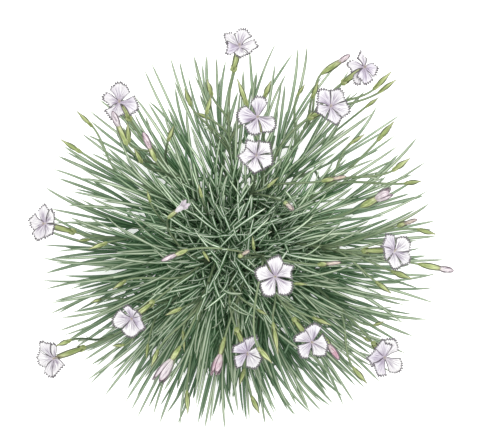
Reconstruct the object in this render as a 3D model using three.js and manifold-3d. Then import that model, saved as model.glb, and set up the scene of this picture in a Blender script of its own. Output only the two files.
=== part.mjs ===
// A clump-forming garden pink (Dianthus): a woody crown, twelve leafy shoots with narrow grass-like
// leaves that form a low cushion, and fringed five-petalled flowers and buds on thin forked stems.
// Millimetres, +Z up. The origin is the centre of the crown's flat underside, which the plant stands on.
import * as THREE from "three";
import { mergeVertices } from "three/addons/utils/BufferGeometryUtils.js";
import Module from "manifold-3d";

// ---------------------------------------------------------------- driving dimensions
const SEED = 4021;
const GAP = 0.3; // air left between neighbouring pieces
const CLEAR = 0.55; // least distance between pieces that pass each other

const CROWN_PROFILE = [
  [0, 0],
  [10.2, 0],
  [11.2, 2.6],
  [13.0, 7.0],
  [12.2, 11.5],
  [8.6, 14.8],
  [0, 16.2],
]; // radius, height
const CROWN_TOP = 15.4; // where the stems come out
const CROWN_SIDES = 12;

const TUFTS = 12;
const TUFT_ROOT_RADIUS = 10.6; // where a shoot leaves the crown
const TUFT_ROOT_HEIGHT = 7.6;
const SHOOT_RADIUS = [1.5, 1.15]; // at the crown, at the far end
const TWIG_RADIUS = 1.0;
const ROSETTE_REACH = 70; // plan radius of the outermost rosettes
const ROSETTE_RISE = 27; // how much higher the middle rosettes sit
const ROSETTE_BASE = 12;
const ROSETTE_STEPS = [
  [6, 24, 40, 53, 63, 70],
  [14, 32, 46, 58, 68, 72],
]; // plan radii of a shoot's rosettes, on even and odd shoots
const LEAVES_PER_ROSETTE = 3;
const LEAF_LENGTH = [50, 68];
const LEAF_WIDTH = 2.5;
const LEAF_KEEL = 0.9;
const LEAF_STATIONS = [0, 0.4, 0.74, 1];
const LEAF_SHAPE = [0.6, 1, 0.8, 0]; // width at each station
const PLAN_HALF = [131.5, 124.5]; // half width and half depth of the leaf cushion
const LEAF_FLOOR = 0.35; // drooping leaves lie on the surface

const STEM_RADIUS = [1.05, 0.75]; // at the crown, under the calyx
const BRANCH_RADIUS = [0.72, 0.6];
const FOOT_RINGS = [8.0, 5.6, 3.0]; // rings of stem feet on the crown
const STEM_BENDS = [
  [0, 0], [0.07, 0], [-0.07, 0], [0, 0.09], [0, -0.09], [0.14, 0],
  [0, 0.18], [0, -0.18], [0.12, 0.12], [0.12, -0.12], [-0.1, 0.16], [-0.1, -0.16],
]; // lift and sideways bow of a stem's lower half, as shares of its length
const BUD_WIDTH = { g: 1.8, s: 1.1, p: 1.9, h: 3.2 };
const CALYX_RADIUS = 2.05;
const CALYX_MOUTH_RADIUS = 1.8;
const CALYX_WALL = 0.42;
const MOUTH_BELOW_THROAT = 2.1;
const PLUG_RADIUS = CALYX_MOUTH_RADIUS - CALYX_WALL - GAP;
const PETAL_THICKNESS = 0.5;
const PETAL_HALF_WIDTH = 0.455; // of the petal's length
const TOOTH_DEPTH = 0.075;
const PETAL_TEETH = 3;
const LEAST_PETAL_TURN = 1.02; // radians between neighbouring petals
const PETAL_TWIST = 0.13; // one edge of each petal lies over its neighbour

// Flowers: the throat and the foot of the calyx, the reach of the petals, the way the face looks
// (azimuth and tilt from upright) and the direction and relative length of each petal.
const FLOWERS = [
  { throat: [-77.7, 82.3, 92], base: [-71.3, 70.5, 81.3], radius: 13.2, azimuth: 119, tilt: 25, petals: [[85, 1], [162, 0.92], [228, 0.95], [272, 0.85], [341, 1]] },
  { throat: [-126.3, 5.3, 76], base: [-107.3, -0.0, 61.8], radius: 13.0, azimuth: 165, tilt: 42, petals: [[95, 1], [166, 1], [238, 1], [292, 0.95], [38, 0.95]] },
  { throat: [-2.4, 117.2, 96], base: [-6.4, 101.3, 84.3], radius: 12.6, azimuth: 90, tilt: 40, petals: [[136, 1], [80, 1], [20, 1], [208, 0.95], [318, 0.9]] },
  { throat: [8.8, 71.0, 124], base: [11.7, 63.1, 108.9], radius: 13.4, azimuth: 80, tilt: 16, petals: [[88, 1], [167, 1], [236, 0.95], [312, 0.95], [350, 0.95]] },
  { throat: [7.9, 47.4, 136], base: [7.6, 39.9, 120.3], radius: 12.0, azimuth: 85, tilt: 6, petals: [[43, 1], [330, 1], [261, 1], [181, 1], [113, 1]] },
  { throat: [54.5, 79.0, 104], base: [41.0, 71.6, 93.0], radius: 12.6, azimuth: 30, tilt: 20, petals: [[57, 1], [345, 1], [280, 1], [205, 0.92], [130, 1]] },
  { throat: [76.4, 104.3, 86], base: [62.5, 94.5, 73.7], radius: 11.8, azimuth: 36, tilt: 36, petals: [[104, 1], [172, 1], [352, 1], [278, 1], [232, 0.95]] },
  { throat: [-69.6, -53.7, 98], base: [-56.3, -43.4, 85.9], radius: 13.0, azimuth: 218, tilt: 24, petals: [[105, 0.95], [150, 1], [195, 1], [262, 1], [335, 1]] },
  { throat: [-120.1, -80.1, 68], base: [-101.6, -74.0, 53.9], radius: 13.2, azimuth: 200, tilt: 44, petals: [[84, 1], [140, 1], [190, 1], [240, 1], [290, 1]] },
  { throat: [2.5, -75.3, 104], base: [-4.5, -60.0, 92.0], radius: 12.6, azimuth: 292, tilt: 22, petals: [[50, 1], [152, 1], [240, 1], [308, 1], [12, 0.95]] },
  { throat: [19.3, -26.5, 142], base: [16.4, -21.7, 125.5], radius: 13.8, azimuth: 300, tilt: 5, petals: [[87, 1], [20, 1], [308, 1], [238, 1], [166, 1]] },
  { throat: [42.6, -68.1, 106], base: [31.3, -53.7, 92.9], radius: 12.2, azimuth: 308, tilt: 22, petals: [[68, 1], [165, 1], [245, 1], [315, 1], [10, 0.95]] },
  { throat: [95.0, -11.1, 94], base: [75.3, -11.6, 79.8], radius: 12.4, azimuth: 0, tilt: 36, petals: [[122, 1], [42, 1], [321, 1], [257, 1], [190, 0.95]] },
  { throat: [89.3, -78.9, 84], base: [82.4, -70.1, 71.1], radius: 13.2, azimuth: 315, tilt: 20, petals: [[112, 1], [58, 0.98], [335, 1], [252, 1], [186, 1]] },
];

// Buds: g closed and green, p with a rolled petal tip, h half open, s small and young.
// mid is where the calyx ends, as a share of the length.
const BUDS = [
  { id: 1, kind: "p", base: [-72.6, 54.1, 100], tip: [-81.3, 75.3, 108.2], mid: 0.61 },
  { id: 2, kind: "g", base: [-72.4, 56.6, 80], tip: [-72.9, 69.3, 87.7] },
  { id: 3, kind: "p", base: [-54.8, 44.7, 90.4], tip: [-62.7, 62.9, 97.5], mid: 0.48 },
  { id: 4, kind: "g", base: [-63.8, 43.8, 86.6], tip: [-68.4, 52.9, 97.3] },
  { id: 5, kind: "g", base: [-96.4, 67.6, 59.2], tip: [-106.9, 78.0, 64.4] },
  { id: 6, kind: "g", base: [-103.3, 50.9, 61.1], tip: [-117.0, 59.6, 66.9] },
  { id: 7, kind: "g", base: [-33.0, 80.0, 81.1], tip: [-36.9, 90.9, 90.2] },
  { id: 8, kind: "g", base: [-19.7, 86.4, 79.8], tip: [-23.0, 96.6, 89.8] },
  { id: 9, kind: "g", base: [-23.4, 74.1, 86.5], tip: [-19.9, 86.6, 93.5] },
  { id: 10, kind: "s", base: [-21.2, 72.4, 67.8], tip: [-30.0, 76.3, 72.3] },
  { id: 11, kind: "g", base: [-47.4, 57.6, 88.3], tip: [-43.3, 67.0, 99.1] },
  { id: 12, kind: "s", base: [-58.9, 18.7, 75.0], tip: [-60.9, 26.9, 78.9] },
  { id: 13, kind: "s", base: [-26.0, 21.8, 85.5], tip: [-28.1, 30.5, 89.6] },
  { id: 14, kind: "h", base: [-47.0, 9.1, 101.5], tip: [-35.3, 18.0, 118.1], mid: 0.49 },
  { id: 15, kind: "g", base: [2.7, 79.5, 85.4], tip: [-3.9, 97.1, 92.1] },
  { id: 16, kind: "g", base: [13.2, 85.1, 81.4], tip: [17.5, 95.6, 90.7] },
  { id: 17, kind: "p", base: [49.9, 101.4, 62.7], tip: [68.1, 113.1, 70.4], mid: 0.66 },
  { id: 18, kind: "s", base: [34.7, 87.7, 55.7], tip: [39.7, 95.2, 59.9] },
  { id: 19, kind: "g", base: [43.7, 84.8, 75.3], tip: [47.6, 95.7, 84.3] },
  { id: 20, kind: "g", base: [82.7, 90.7, 72], tip: [94.4, 102.4, 77.9] },
  { id: 21, kind: "g", base: [86.4, 89.2, 63], tip: [98.2, 97.9, 68.2] },
  { id: 22, kind: "s", base: [79.2, 81.0, 41.4], tip: [88.3, 87.5, 46.6] },
  { id: 23, kind: "g", base: [85.4, 58.3, 69.7], tip: [96.1, 70.8, 75.6] },
  { id: 24, kind: "s", base: [68.0, 56.4, 59.8], tip: [77.9, 62.9, 65.3] },
  { id: 25, kind: "g", base: [94.9, 39.1, 70.2], tip: [106.3, 47.3, 75.2] },
  { id: 26, kind: "g", base: [102.8, 31.2, 66.7], tip: [113.5, 32.6, 76.5] },
  { id: 27, kind: "s", base: [15.0, 28.4, 85.9], tip: [22.5, 34.9, 90.5] },
  { id: 28, kind: "p", base: [49.4, 32.3, 96.4], tip: [63.8, 34.9, 109.4], mid: 0.54 },
  { id: 29, kind: "p", base: [26.0, 18.7, 107.2], tip: [30.6, 14.0, 125.2], mid: 0.39 },
  { id: 30, kind: "h", base: [73.9, 16.1, 87.5], tip: [92.7, 25.7, 95.0], mid: 0.54 },
  { id: 31, kind: "p", base: [97.9, 4.1, 73.4], tip: [109.5, 8.2, 88.4], mid: 0.45 },
  { id: 32, kind: "g", base: [111.3, 2.1, 63.8], tip: [123.1, -1.3, 71.8] },
  { id: 33, kind: "p", base: [111.8, -20.2, 66], tip: [133.7, -24.5, 74.0], mid: 0.65 },
  { id: 34, kind: "g", base: [94.0, -24.5, 73.8], tip: [107.0, -29.5, 79.1] },
  { id: 35, kind: "g", base: [83.9, -31.1, 78.9], tip: [93.5, -38.5, 87.3] },
  { id: 36, kind: "p", base: [46.7, -20.0, 100.0], tip: [60.5, -18.5, 114.0], mid: 0.44 },
  { id: 37, kind: "s", base: [32.2, -32.3, 81.6], tip: [40.9, -32.8, 85.6] },
  { id: 38, kind: "s", base: [6.8, -11.0, 89.3], tip: [5.8, -2.2, 93.4] },
  { id: 39, kind: "p", base: [-2.6, -14.8, 111.4], tip: [3.8, -10.9, 129.4], mid: 0.48 },
  { id: 40, kind: "s", base: [8.8, -48.8, 80.1], tip: [15.4, -52.1, 84.2] },
  { id: 41, kind: "g", base: [18.7, -56.1, 94], tip: [21.9, -76.4, 101.3] },
  { id: 42, kind: "g", base: [43.5, -53.4, 91.1], tip: [55.6, -58.2, 98.2] },
  { id: 43, kind: "p", base: [51.4, -66.7, 82.2], tip: [60.1, -79.7, 93.9], mid: 0.37 },
  { id: 44, kind: "s", base: [84.0, -60.3, 49.0], tip: [90.8, -57.5, 53.1] },
  { id: 45, kind: "s", base: [77.8, -68.0, 49.0], tip: [83.3, -70.6, 54.7] },
  { id: 46, kind: "g", base: [70.0, -86.2, 63.9], tip: [79.3, -96.7, 68.9] },
  { id: 47, kind: "g", base: [9.1, -71.1, 114], tip: [18.0, -80.6, 121.1] },
  { id: 48, kind: "g", base: [5.3, -104.4, 68.6], tip: [10.4, -115.2, 77.2] },
  { id: 49, kind: "g", base: [0.8, -86.5, 80], tip: [-2.3, -95.9, 90.8] },
  { id: 52, kind: "g", base: [-85.8, -6.4, 81.3], tip: [-97.7, -10.7, 88.9] },
  { id: 53, kind: "s", base: [-98.7, -4.7, 52.5], tip: [-107.2, -5.5, 56.4] },
  { id: 54, kind: "p", base: [-34.7, -10.8, 105.8], tip: [-50.6, -17.5, 115.5], mid: 0.49 },
  { id: 55, kind: "s", base: [-25.3, -12.0, 86.8], tip: [-21.1, -18.5, 90.4] },
  { id: 56, kind: "g", base: [-74.0, -30.3, 85.0], tip: [-82.2, -35.7, 95.8] },
  { id: 57, kind: "s", base: [-91.1, -43.1, 51.0], tip: [-98.2, -45.2, 54.9] },
  { id: 58, kind: "g", base: [-38.7, -47.3, 95.2], tip: [-48.7, -51.6, 105.2] },
  { id: 59, kind: "g", base: [-108.2, -67.8, 87], tip: [-117.5, -71.0, 97.7] },
  { id: 60, kind: "h", base: [-39.6, -71.7, 83.6], tip: [-53.8, -93.5, 93.0], mid: 0.42 },
  { id: 61, kind: "s", base: [-61.2, -71.5, 55.7], tip: [-62.3, -81.6, 60.3] },
  { id: 62, kind: "g", base: [-54.0, -74.3, 77.4], tip: [-58.1, -84.8, 86.7] },
  { id: 63, kind: "s", base: [-76.4, -72.9, 47.3], tip: [-84.6, -73.3, 51.1] },
  { id: 64, kind: "s", base: [-38.4, -62.3, 68.9], tip: [-37.3, -76.3, 75.4] },
  { id: 65, kind: "g", base: [-35.9, -100.7, 67.0], tip: [-35.2, -115.9, 72.4] },
  { id: 66, kind: "h", base: [-11.5, -66.1, 81.0], tip: [-18.0, -89.8, 90.0], mid: 0.5 },
];
const BUD_STEMS = [6, 60, 66, 23, 30]; // buds that end a stem of their own

const COLOURS = {
  crown: 0x6f5a43,
  leaf: [0x6d8a70, 0x76937a, 0x668468],
  stem: 0x9fae6c,
  calyx: 0xa9b46a,
  petal: 0xf4eef4,
};

// ---------------------------------------------------------------- helpers
const wasm = await Module();
wasm.setup();
const V = (x, y, z) => new THREE.Vector3(x, y, z);
const at = (a) => V(a[0], a[1], a[2]);
const rad = (d) => (d * Math.PI) / 180;
const lerp = (a, b, t) => a + (b - a) * t;

function random(seed) {
  let a = seed >>> 0;
  return () => {
    a = (a + 0x6d2b79f5) >>> 0;
    let t = a;
    t = Math.imul(t ^ (t >>> 15), t | 1);
    t ^= t + Math.imul(t ^ (t >>> 7), t | 61);
    return ((t ^ (t >>> 14)) >>> 0) / 4294967296;
  };
}

// A closed geometry from corner points and triangles, turned so that its faces point out.
function closed(points, faces) {
  let volume = 0;
  for (const [a, b, c] of faces)
    volume += points[a].dot(V(0, 0, 0).crossVectors(points[b], points[c]));
  const index = [];
  for (const [a, b, c] of faces) index.push(a, ...(volume < 0 ? [c, b] : [b, c]));
  const geometry = new THREE.BufferGeometry().setFromPoints(points);
  geometry.setIndex(index);
  return geometry;
}

// A sweep of a polygon section along a line of points. A section of one point closes to a tip.
function sweep(path, sections, up) {
  const points = [];
  const rings = [];
  let side = null;
  path.forEach((p, i) => {
    const t = V(0, 0, 0)
      .subVectors(path[Math.min(i + 1, path.length - 1)], path[Math.max(i - 1, 0)])
      .normalize();
    if (!side) side = V(0, 0, 0).crossVectors(t, up);
    side.addScaledVector(t, -side.dot(t)).normalize();
    const lift = V(0, 0, 0).crossVectors(side, t);
    rings.push(
      sections[i].map(([x, y]) => {
        points.push(p.clone().addScaledVector(side, x).addScaledVector(lift, y));
        return points.length - 1;
      }),
    );
  });
  const faces = [];
  for (let i = 0; i + 1 < rings.length; i++) {
    const a = rings[i];
    const b = rings[i + 1];
    const n = Math.max(a.length, b.length);
    for (let k = 0; k < n; k++) {
      const k2 = (k + 1) % n;
      if (b.length === 1) faces.push([a[k], a[k2], b[0]]);
      else if (a.length === 1) faces.push([a[0], b[k2], b[k]]);
      else faces.push([a[k], a[k2], b[k2]], [a[k], b[k2], b[k]]);
    }
  }
  const cap = (ring, flip) => {
    for (let k = 1; k + 1 < ring.length; k++)
      faces.push(flip ? [ring[0], ring[k + 1], ring[k]] : [ring[0], ring[k], ring[k + 1]]);
  };
  cap(rings[0], true);
  cap(rings[rings.length - 1], false);
  return closed(points, faces);
}

const round = (radius, sides, turn = 0) =>
  Array.from({ length: sides }, (_, k) => {
    const a = (2 * Math.PI * k) / sides + turn;
    return [radius * Math.cos(a), radius * Math.sin(a)];
  });

function rod(path, r0, r1, sides, turn = 0.3) {
  const n = path.length - 1;
  return sweep(
    path,
    path.map((_, i) => round(lerp(r0, r1, i / n), sides, turn)),
    V(0.31, 0.17, 0.94),
  );
}

// A turned body from a radius and height profile, set on a foot point along a direction.
function turned(profile, sides, foot, direction) {
  const geometry = new THREE.LatheGeometry(
    profile.map(([r, h]) => new THREE.Vector2(Math.max(r, 0), h)),
    sides,
  );
  geometry.deleteAttribute("normal");
  geometry.deleteAttribute("uv");
  const merged = mergeVertices(geometry, 1e-3);
  // triangles that a profile point on the axis folds flat
  const old = merged.index.array;
  const keep = [];
  for (let i = 0; i < old.length; i += 3)
    if (old[i] !== old[i + 1] && old[i + 1] !== old[i + 2] && old[i] !== old[i + 2])
      keep.push([old[i], old[i + 1], old[i + 2]]);
  const turn = new THREE.Quaternion().setFromUnitVectors(V(0, 1, 0), direction.clone().normalize());
  const p = merged.attributes.position;
  const points = Array.from({ length: p.count }, (_, i) =>
    V(p.getX(i), p.getY(i), p.getZ(i)).applyQuaternion(turn).add(foot),
  );
  return closed(points, keep);
}

function solid(geometry) {
  const g = geometry.clone();
  for (const name of Object.keys(g.attributes)) if (name !== "position") g.deleteAttribute(name);
  const merged = mergeVertices(g, 1e-4);
  return new wasm.Manifold(
    new wasm.Mesh({
      numProp: 3,
      vertProperties: merged.attributes.position.array,
      triVerts: new Uint32Array(merged.index.array),
    }),
  );
}

const join = (geometries) => geometries.map(solid).reduce((a, b) => a.add(b));

// One body: small voids that joined blades enclose are filled, and stray slivers are dropped.
function geometryOf(manifold, name) {
  const bodies = manifold.simplify(0.05).decompose().filter((b) => b.volume() > 0);
  bodies.sort((a, b) => b.volume() - a.volume());
  if (bodies[1] && bodies[1].volume() > 0.05) console.warn(name, "has a loose body", bodies[1].volume().toFixed(2));
  const mesh = bodies[0].getMesh();
  const geometry = new THREE.BufferGeometry();
  geometry.setAttribute("position", new THREE.BufferAttribute(new Float32Array(mesh.vertProperties), 3));
  geometry.setIndex(new THREE.BufferAttribute(new Uint32Array(mesh.triVerts), 1));
  return geometry;
}

function cubic(a, b, c, d, steps, from = 0, to = 1) {
  const curve = new THREE.CubicBezierCurve3(a, b, c, d);
  return Array.from({ length: steps + 1 }, (_, i) => curve.getPoint(lerp(from, to, i / steps)));
}

// ---------------------------------------------------------------- what already stands where
const taken = []; // { a, b, r, node, lo, hi }

function claim(node, path, radius, part = "") {
  for (let i = 0; i + 1 < path.length; i++)
    taken.push({ ...segment(node, path[i], path[i + 1], radius), part });
}

function segment(node, a, b, r) {
  return {
    node,
    a,
    b,
    r,
    lo: [Math.min(a.x, b.x) - r, Math.min(a.y, b.y) - r, Math.min(a.z, b.z) - r],
    hi: [Math.max(a.x, b.x) + r, Math.max(a.y, b.y) + r, Math.max(a.z, b.z) + r],
  };
}

function between(p1, q1, p2, q2) {
  const d1 = q1.clone().sub(p1);
  const d2 = q2.clone().sub(p2);
  const r = p1.clone().sub(p2);
  const a = d1.lengthSq();
  const e = d2.lengthSq();
  const f = d2.dot(r);
  const c = d1.dot(r);
  const b = d1.dot(d2);
  const den = a * e - b * b;
  const clamp = (x) => Math.min(Math.max(x, 0), 1);
  let s = den > 1e-9 ? clamp((b * f - c * e) / den) : 0;
  let t = (b * s + f) / e;
  if (t < 0) {
    t = 0;
    s = clamp(-c / a);
  } else if (t > 1) {
    t = 1;
    s = clamp((b - c) / a);
  }
  return p1.clone().addScaledVector(d1, s).distanceTo(p2.clone().addScaledVector(d2, t));
}

// The least air between a path and every piece of another node, or with a part name, also of the
// same node's other parts.
function air(node, path, radius, enough = CLEAR, part = null, mate = null) {
  let least = Infinity;
  for (let i = 0; i + 1 < path.length; i++) {
    const s = segment(node, path[i], path[i + 1], radius);
    for (const o of taken) {
      if (o.node === mate || (o.node === node && (part === null || o.part === part))) continue;
      let far = false;
      for (let k = 0; k < 3; k++)
        if (s.lo[k] - enough > o.hi[k] || o.lo[k] - enough > s.hi[k]) {
          far = true;
          break;
        }
      if (far) continue;
      const d = between(s.a, s.b, o.a, o.b) - s.r - o.r;
      if (d < least) least = d;
      if (least < enough) return least;
    }
  }
  return least;
}

// ---------------------------------------------------------------- flowers and stems
const pad = (n) => String(n).padStart(2, "0");
const pieces = new Map(); // node name -> list of geometries to join
const colours = new Map();
const add = (node, geometry, colour) => {
  if (!pieces.has(node)) pieces.set(node, []);
  pieces.get(node).push(geometry);
  if (colour !== undefined) colours.set(node, colour);
};

function faceNormal(f) {
  const t = rad(f.tilt);
  const a = rad(f.azimuth);
  return V(Math.sin(t) * Math.cos(a), Math.sin(t) * Math.sin(a), Math.cos(t));
}

// The outline of one petal beyond its foot, from its right edge over the toothed end to its left.
function petalOutline(length, teeth) {
  const w = length * PETAL_HALF_WIDTH;
  const right = [
    [w * 0.27, length * 0.26],
    [w * 0.64, length * 0.54],
    [w * 0.98, length * 0.82],
  ];
  const end = [];
  for (let k = 0; k <= 2 * teeth; k++) {
    const u = 1 - k / teeth;
    const reach = 0.885 + 0.085 * (1 - u * u) + (k % 2 === 0 ? 0 : TOOTH_DEPTH * 0.8);
    end.push([w * 0.93 * u, length * reach]);
  }
  return [...right, ...end, ...right.map(([x, y]) => [-x, y]).reverse()];
}

// The five petals as one body: a tube that stands in the calyx mouth, a hub, and a blade from each
// side of the hub.
function corolla(f, foot, axis) {
  const throat = at(f.throat);
  const normal = faceNormal(f);
  const blades = f.petals
    .map(([azimuth, share]) => {
      const out = V(Math.cos(rad(azimuth)), Math.sin(rad(azimuth)), 0);
      out.z = -(normal.x * out.x + normal.y * out.y) / normal.z;
      return { out: out.normalize(), share };
    });
  const e1 = blades[0].out.clone();
  const e2 = V(0, 0, 0).crossVectors(normal, e1);
  for (const b of blades) b.angle = (Math.atan2(b.out.dot(e2), b.out.dot(e1)) + 4 * Math.PI) % (2 * Math.PI);
  blades.sort((a, b) => a.angle - b.angle);
  const n = blades.length;
  // blades that crowd each other share the room evenly
  for (let pass = 0; pass < 60; pass++)
    for (let i = 0; i < n; i++) {
      const j = (i + 1) % n;
      const apart = blades[j].angle - blades[i].angle + (j ? 0 : 2 * Math.PI);
      const lack = LEAST_PETAL_TURN - apart;
      if (lack > 0) {
        blades[i].angle -= lack / 2;
        blades[j].angle += lack / 2;
      }
    }
  const points = [];
  const faces = [];
  const put = (p) => points.push(p) - 1;
  const corner = (i) => {
    const j = (i + 1) % n;
    return (blades[i].angle + blades[j].angle + (j ? 0 : 2 * Math.PI)) / 2;
  };
  const ring = (centre, radius, u, v) =>
    blades.map((_, i) => {
      const a = corner(i);
      return put(centre.clone().addScaledVector(u, radius * Math.cos(a)).addScaledVector(v, radius * Math.sin(a)));
    });
  const t1 = e1.clone().addScaledVector(axis, -e1.dot(axis)).normalize();
  const t2 = V(0, 0, 0).crossVectors(axis, t1);
  const rings = [
    ring(foot, PLUG_RADIUS, t1, t2),
    ring(throat.clone().addScaledVector(axis, -1.3), PLUG_RADIUS, t1, t2),
    ring(throat.clone().addScaledVector(normal, -0.6), 2.0, e1, e2),
    ring(throat.clone().addScaledVector(normal, 0.3), 2.1, e1, e2),
  ];
  for (let k = 0; k < 2; k++)
    for (let i = 0; i < n; i++) {
      const j = (i + 1) % n;
      const [a, b] = [rings[k], rings[k + 1]];
      faces.push([a[i], a[j], b[j]], [a[i], b[j], b[i]]);
    }
  for (let i = 1; i + 1 < n; i++) {
    faces.push([rings[0][0], rings[0][i + 1], rings[0][i]]);
    faces.push([rings[3][0], rings[3][i], rings[3][i + 1]]);
  }
  blades.forEach((blade, i) => {
    const r = (i + n - 1) % n; // corner on the blade's right
    const out = e1.clone().multiplyScalar(Math.cos(blade.angle)).addScaledVector(e2, Math.sin(blade.angle));
    const across = V(0, 0, 0).crossVectors(out, normal);
    const length = f.radius * blade.share;
    const outline = petalOutline(length, PETAL_TEETH);
    const place = (x, y, z) => {
      const u = y / length;
      const lift =
        length * (0.1 * Math.sin(Math.PI * Math.min(u * 0.95, 1)) - 0.05 * u * u) + PETAL_TWIST * x * Math.min(1, u * 1.6);
      return throat.clone().addScaledVector(across, x).addScaledVector(out, y).addScaledVector(normal, z + lift);
    };
    const top = outline.map(([x, y]) => put(place(x, y, 0.1)));
    const under = outline.map(([x, y]) => put(place(x, y, 0.1 - PETAL_THICKNESS)));
    const local = (id) => {
      const d = points[id].clone().sub(throat);
      return new THREE.Vector2(d.dot(across), d.dot(out));
    };
    const upper = [rings[3][r], ...top, rings[3][i]];
    const lower = [rings[2][r], ...under, rings[2][i]];
    const flat = upper.map(local);
    for (const [a, b, c] of THREE.ShapeUtils.triangulateShape(flat, [])) {
      const turn = (flat[b].x - flat[a].x) * (flat[c].y - flat[a].y) - (flat[c].x - flat[a].x) * (flat[b].y - flat[a].y);
      const t = turn > 0 ? [a, b, c] : [a, c, b];
      faces.push(t.map((q) => upper[q]));
      faces.push([lower[t[0]], lower[t[2]], lower[t[1]]]);
    }
    for (let q = 0; q + 1 < upper.length; q++)
      faces.push([upper[q], lower[q], lower[q + 1]], [upper[q], lower[q + 1], upper[q + 1]]);
  });
  return closed(points, faces);
}

function petalLine(f, azimuth, share, shift) {
  const normal = faceNormal(f);
  const a = rad(azimuth);
  const out = V(Math.cos(a), Math.sin(a), 0);
  out.z = -(normal.x * out.x + normal.y * out.y) / normal.z;
  out.normalize();
  const across = V(0, 0, 0).crossVectors(out, normal);
  const length = f.radius * share;
  return [
    at(f.throat),
    at(f.throat).addScaledVector(out, length * 0.55).addScaledVector(across, shift * length * 0.28),
    at(f.throat).addScaledVector(out, length * 0.95).addScaledVector(across, shift * length * 0.36),
  ];
}

const stems = []; // { node, curve: [4 points], path }
function stemCurve(foot, direction, ring, lean, lift, bow) {
  const target = Math.atan2(foot.y, foot.x) + lean;
  const start = V(ring * Math.cos(target), ring * Math.sin(target), CROWN_TOP - 2);
  const span = foot.distanceTo(start);
  const rise = V(Math.cos(target) * 0.5, Math.sin(target) * 0.5, 1).normalize();
  const aside = V(-Math.sin(target), Math.cos(target), 0);
  return [
    start,
    start.clone().addScaledVector(rise, span * (0.3 + lift)).addScaledVector(aside, span * bow),
    foot.clone().addScaledVector(direction, -span * 0.36),
    foot.clone(),
  ];
}

// Each stem takes the foot on the crown from which it passes clear of the pieces before it.
function growStem(node, foot, direction, mate) {
  let best = null;
  for (const ring of FOOT_RINGS)
    for (let k = -8; k <= 8; k++)
      for (const [lift, bow] of STEM_BENDS) {
        const curve = stemCurve(foot, direction, ring, k * 0.1, lift, bow);
        const path = cubic(...curve, 6);
        const clearance = air(node, path, STEM_RADIUS[0], 0.3, null, mate);
        const cost = Math.abs(k) * 0.12 + Math.abs(lift) * 3 + Math.abs(bow) * 4 + Math.max(0, 0.8 - clearance) * 9;
        if (!best || cost < best.cost) best = { node, curve, path, cost };
      }
  if (best.cost > 4) console.warn(node, "has no clear way", best.cost.toFixed(1));
  claim(node, best.path, STEM_RADIUS[0]);
  stems.push(best);
  return best;
}

FLOWERS.forEach((f, i) => {
  const n = pad(i + 1);
  const throat = at(f.throat);
  const base = at(f.base);
  const axis = throat.clone().sub(base).normalize();
  const mouth = throat.distanceTo(base) - MOUTH_BELOW_THROAT;
  f.axis = axis;
  // calyx: a slim ribbed tube with a socket for the stem and an open mouth
  const socket = STEM_RADIUS[1] + GAP;
  add(
    `calyx_${n}`,
    turned(
      [
        [0, 1.4],
        [socket, 1.4],
        [socket, 0],
        [socket + 0.45, 0],
        [CALYX_RADIUS, mouth * 0.16],
        [CALYX_RADIUS * 0.97, mouth * 0.6],
        [CALYX_MOUTH_RADIUS, mouth],
        [CALYX_MOUTH_RADIUS - CALYX_WALL, mouth],
        [CALYX_MOUTH_RADIUS - CALYX_WALL, mouth - 3.2],
        [0, mouth - 3.2],
      ],
      7,
      base,
      axis,
    ),
    COLOURS.calyx,
  );
  claim(`calyx_${n}`, [base, base.clone().addScaledVector(axis, mouth)], CALYX_RADIUS);
  // petals: five fringed blades that meet in a short tube standing in the calyx mouth
  const node = `petals_${n}`;
  add(node, corolla(f, base.clone().addScaledVector(axis, mouth - 2.7), axis), COLOURS.petal);
  for (const [azimuth, share] of f.petals) {
    for (const shift of [-1, 0, 1]) claim(node, petalLine(f, azimuth, share, shift), 1.9);
  }
  f.foot = base.clone().addScaledVector(axis, 1.4 - GAP);
});
for (const id of BUD_STEMS) {
  const b = BUDS.find((x) => x.id === id);
  b.node = `bud_stem_${pad(BUD_STEMS.indexOf(id) + 1)}`;
  claim(b.node, [at(b.base), at(b.tip)], BUD_WIDTH[b.kind]);
}
FLOWERS.map((f, i) => [f, i])
  .sort(([a], [b]) => Math.hypot(a.base[0], a.base[1]) - Math.hypot(b.base[0], b.base[1]))
  .forEach(([f, i]) => growStem(`flower_stem_${pad(i + 1)}`, f.foot, f.axis, `calyx_${pad(i + 1)}`));
for (const id of BUD_STEMS) {
  const b = BUDS.find((x) => x.id === id);
  const axis = at(b.tip).sub(at(b.base)).normalize();
  b.stem = growStem(b.node, at(b.base).addScaledVector(axis, 1.2), axis);
}

// ---------------------------------------------------------------- buds and their side branches
// A bud and the twig that carries it, swept as one body from the twig's foot to the bud's tip.
function budOn(twig, b) {
  const base = at(b.base);
  const axis = at(b.tip).sub(base);
  const L = axis.length();
  axis.normalize();
  const m = (b.mid ?? 0.5) * L;
  const rings = {
    g: [[0.7, 1.3], [L * 0.36, 1.75], [L, 0]],
    s: [[L * 0.4, 1.05], [L, 0]],
    p: [[0.8, 1.6], [m, 1.5], [lerp(m, L, 0.5), 1.7], [L, 0]],
    h: [[0.8, 1.6], [m, 1.55], [L * 0.97, 3.9], [L, 0]],
  }[b.kind];
  const path = [...twig, ...rings.map(([h]) => base.clone().addScaledVector(axis, h))];
  const radii = [
    ...twig.map((_, i) => lerp(BRANCH_RADIUS[0], BRANCH_RADIUS[1], i / (twig.length - 1))),
    ...rings.map(([, r]) => r),
  ];
  return sweep(
    path,
    radii.map((r) => (r ? round(r, 5, 0.3) : [[0, 0]])),
    V(0.31, 0.17, 0.94),
  );
}

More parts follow.
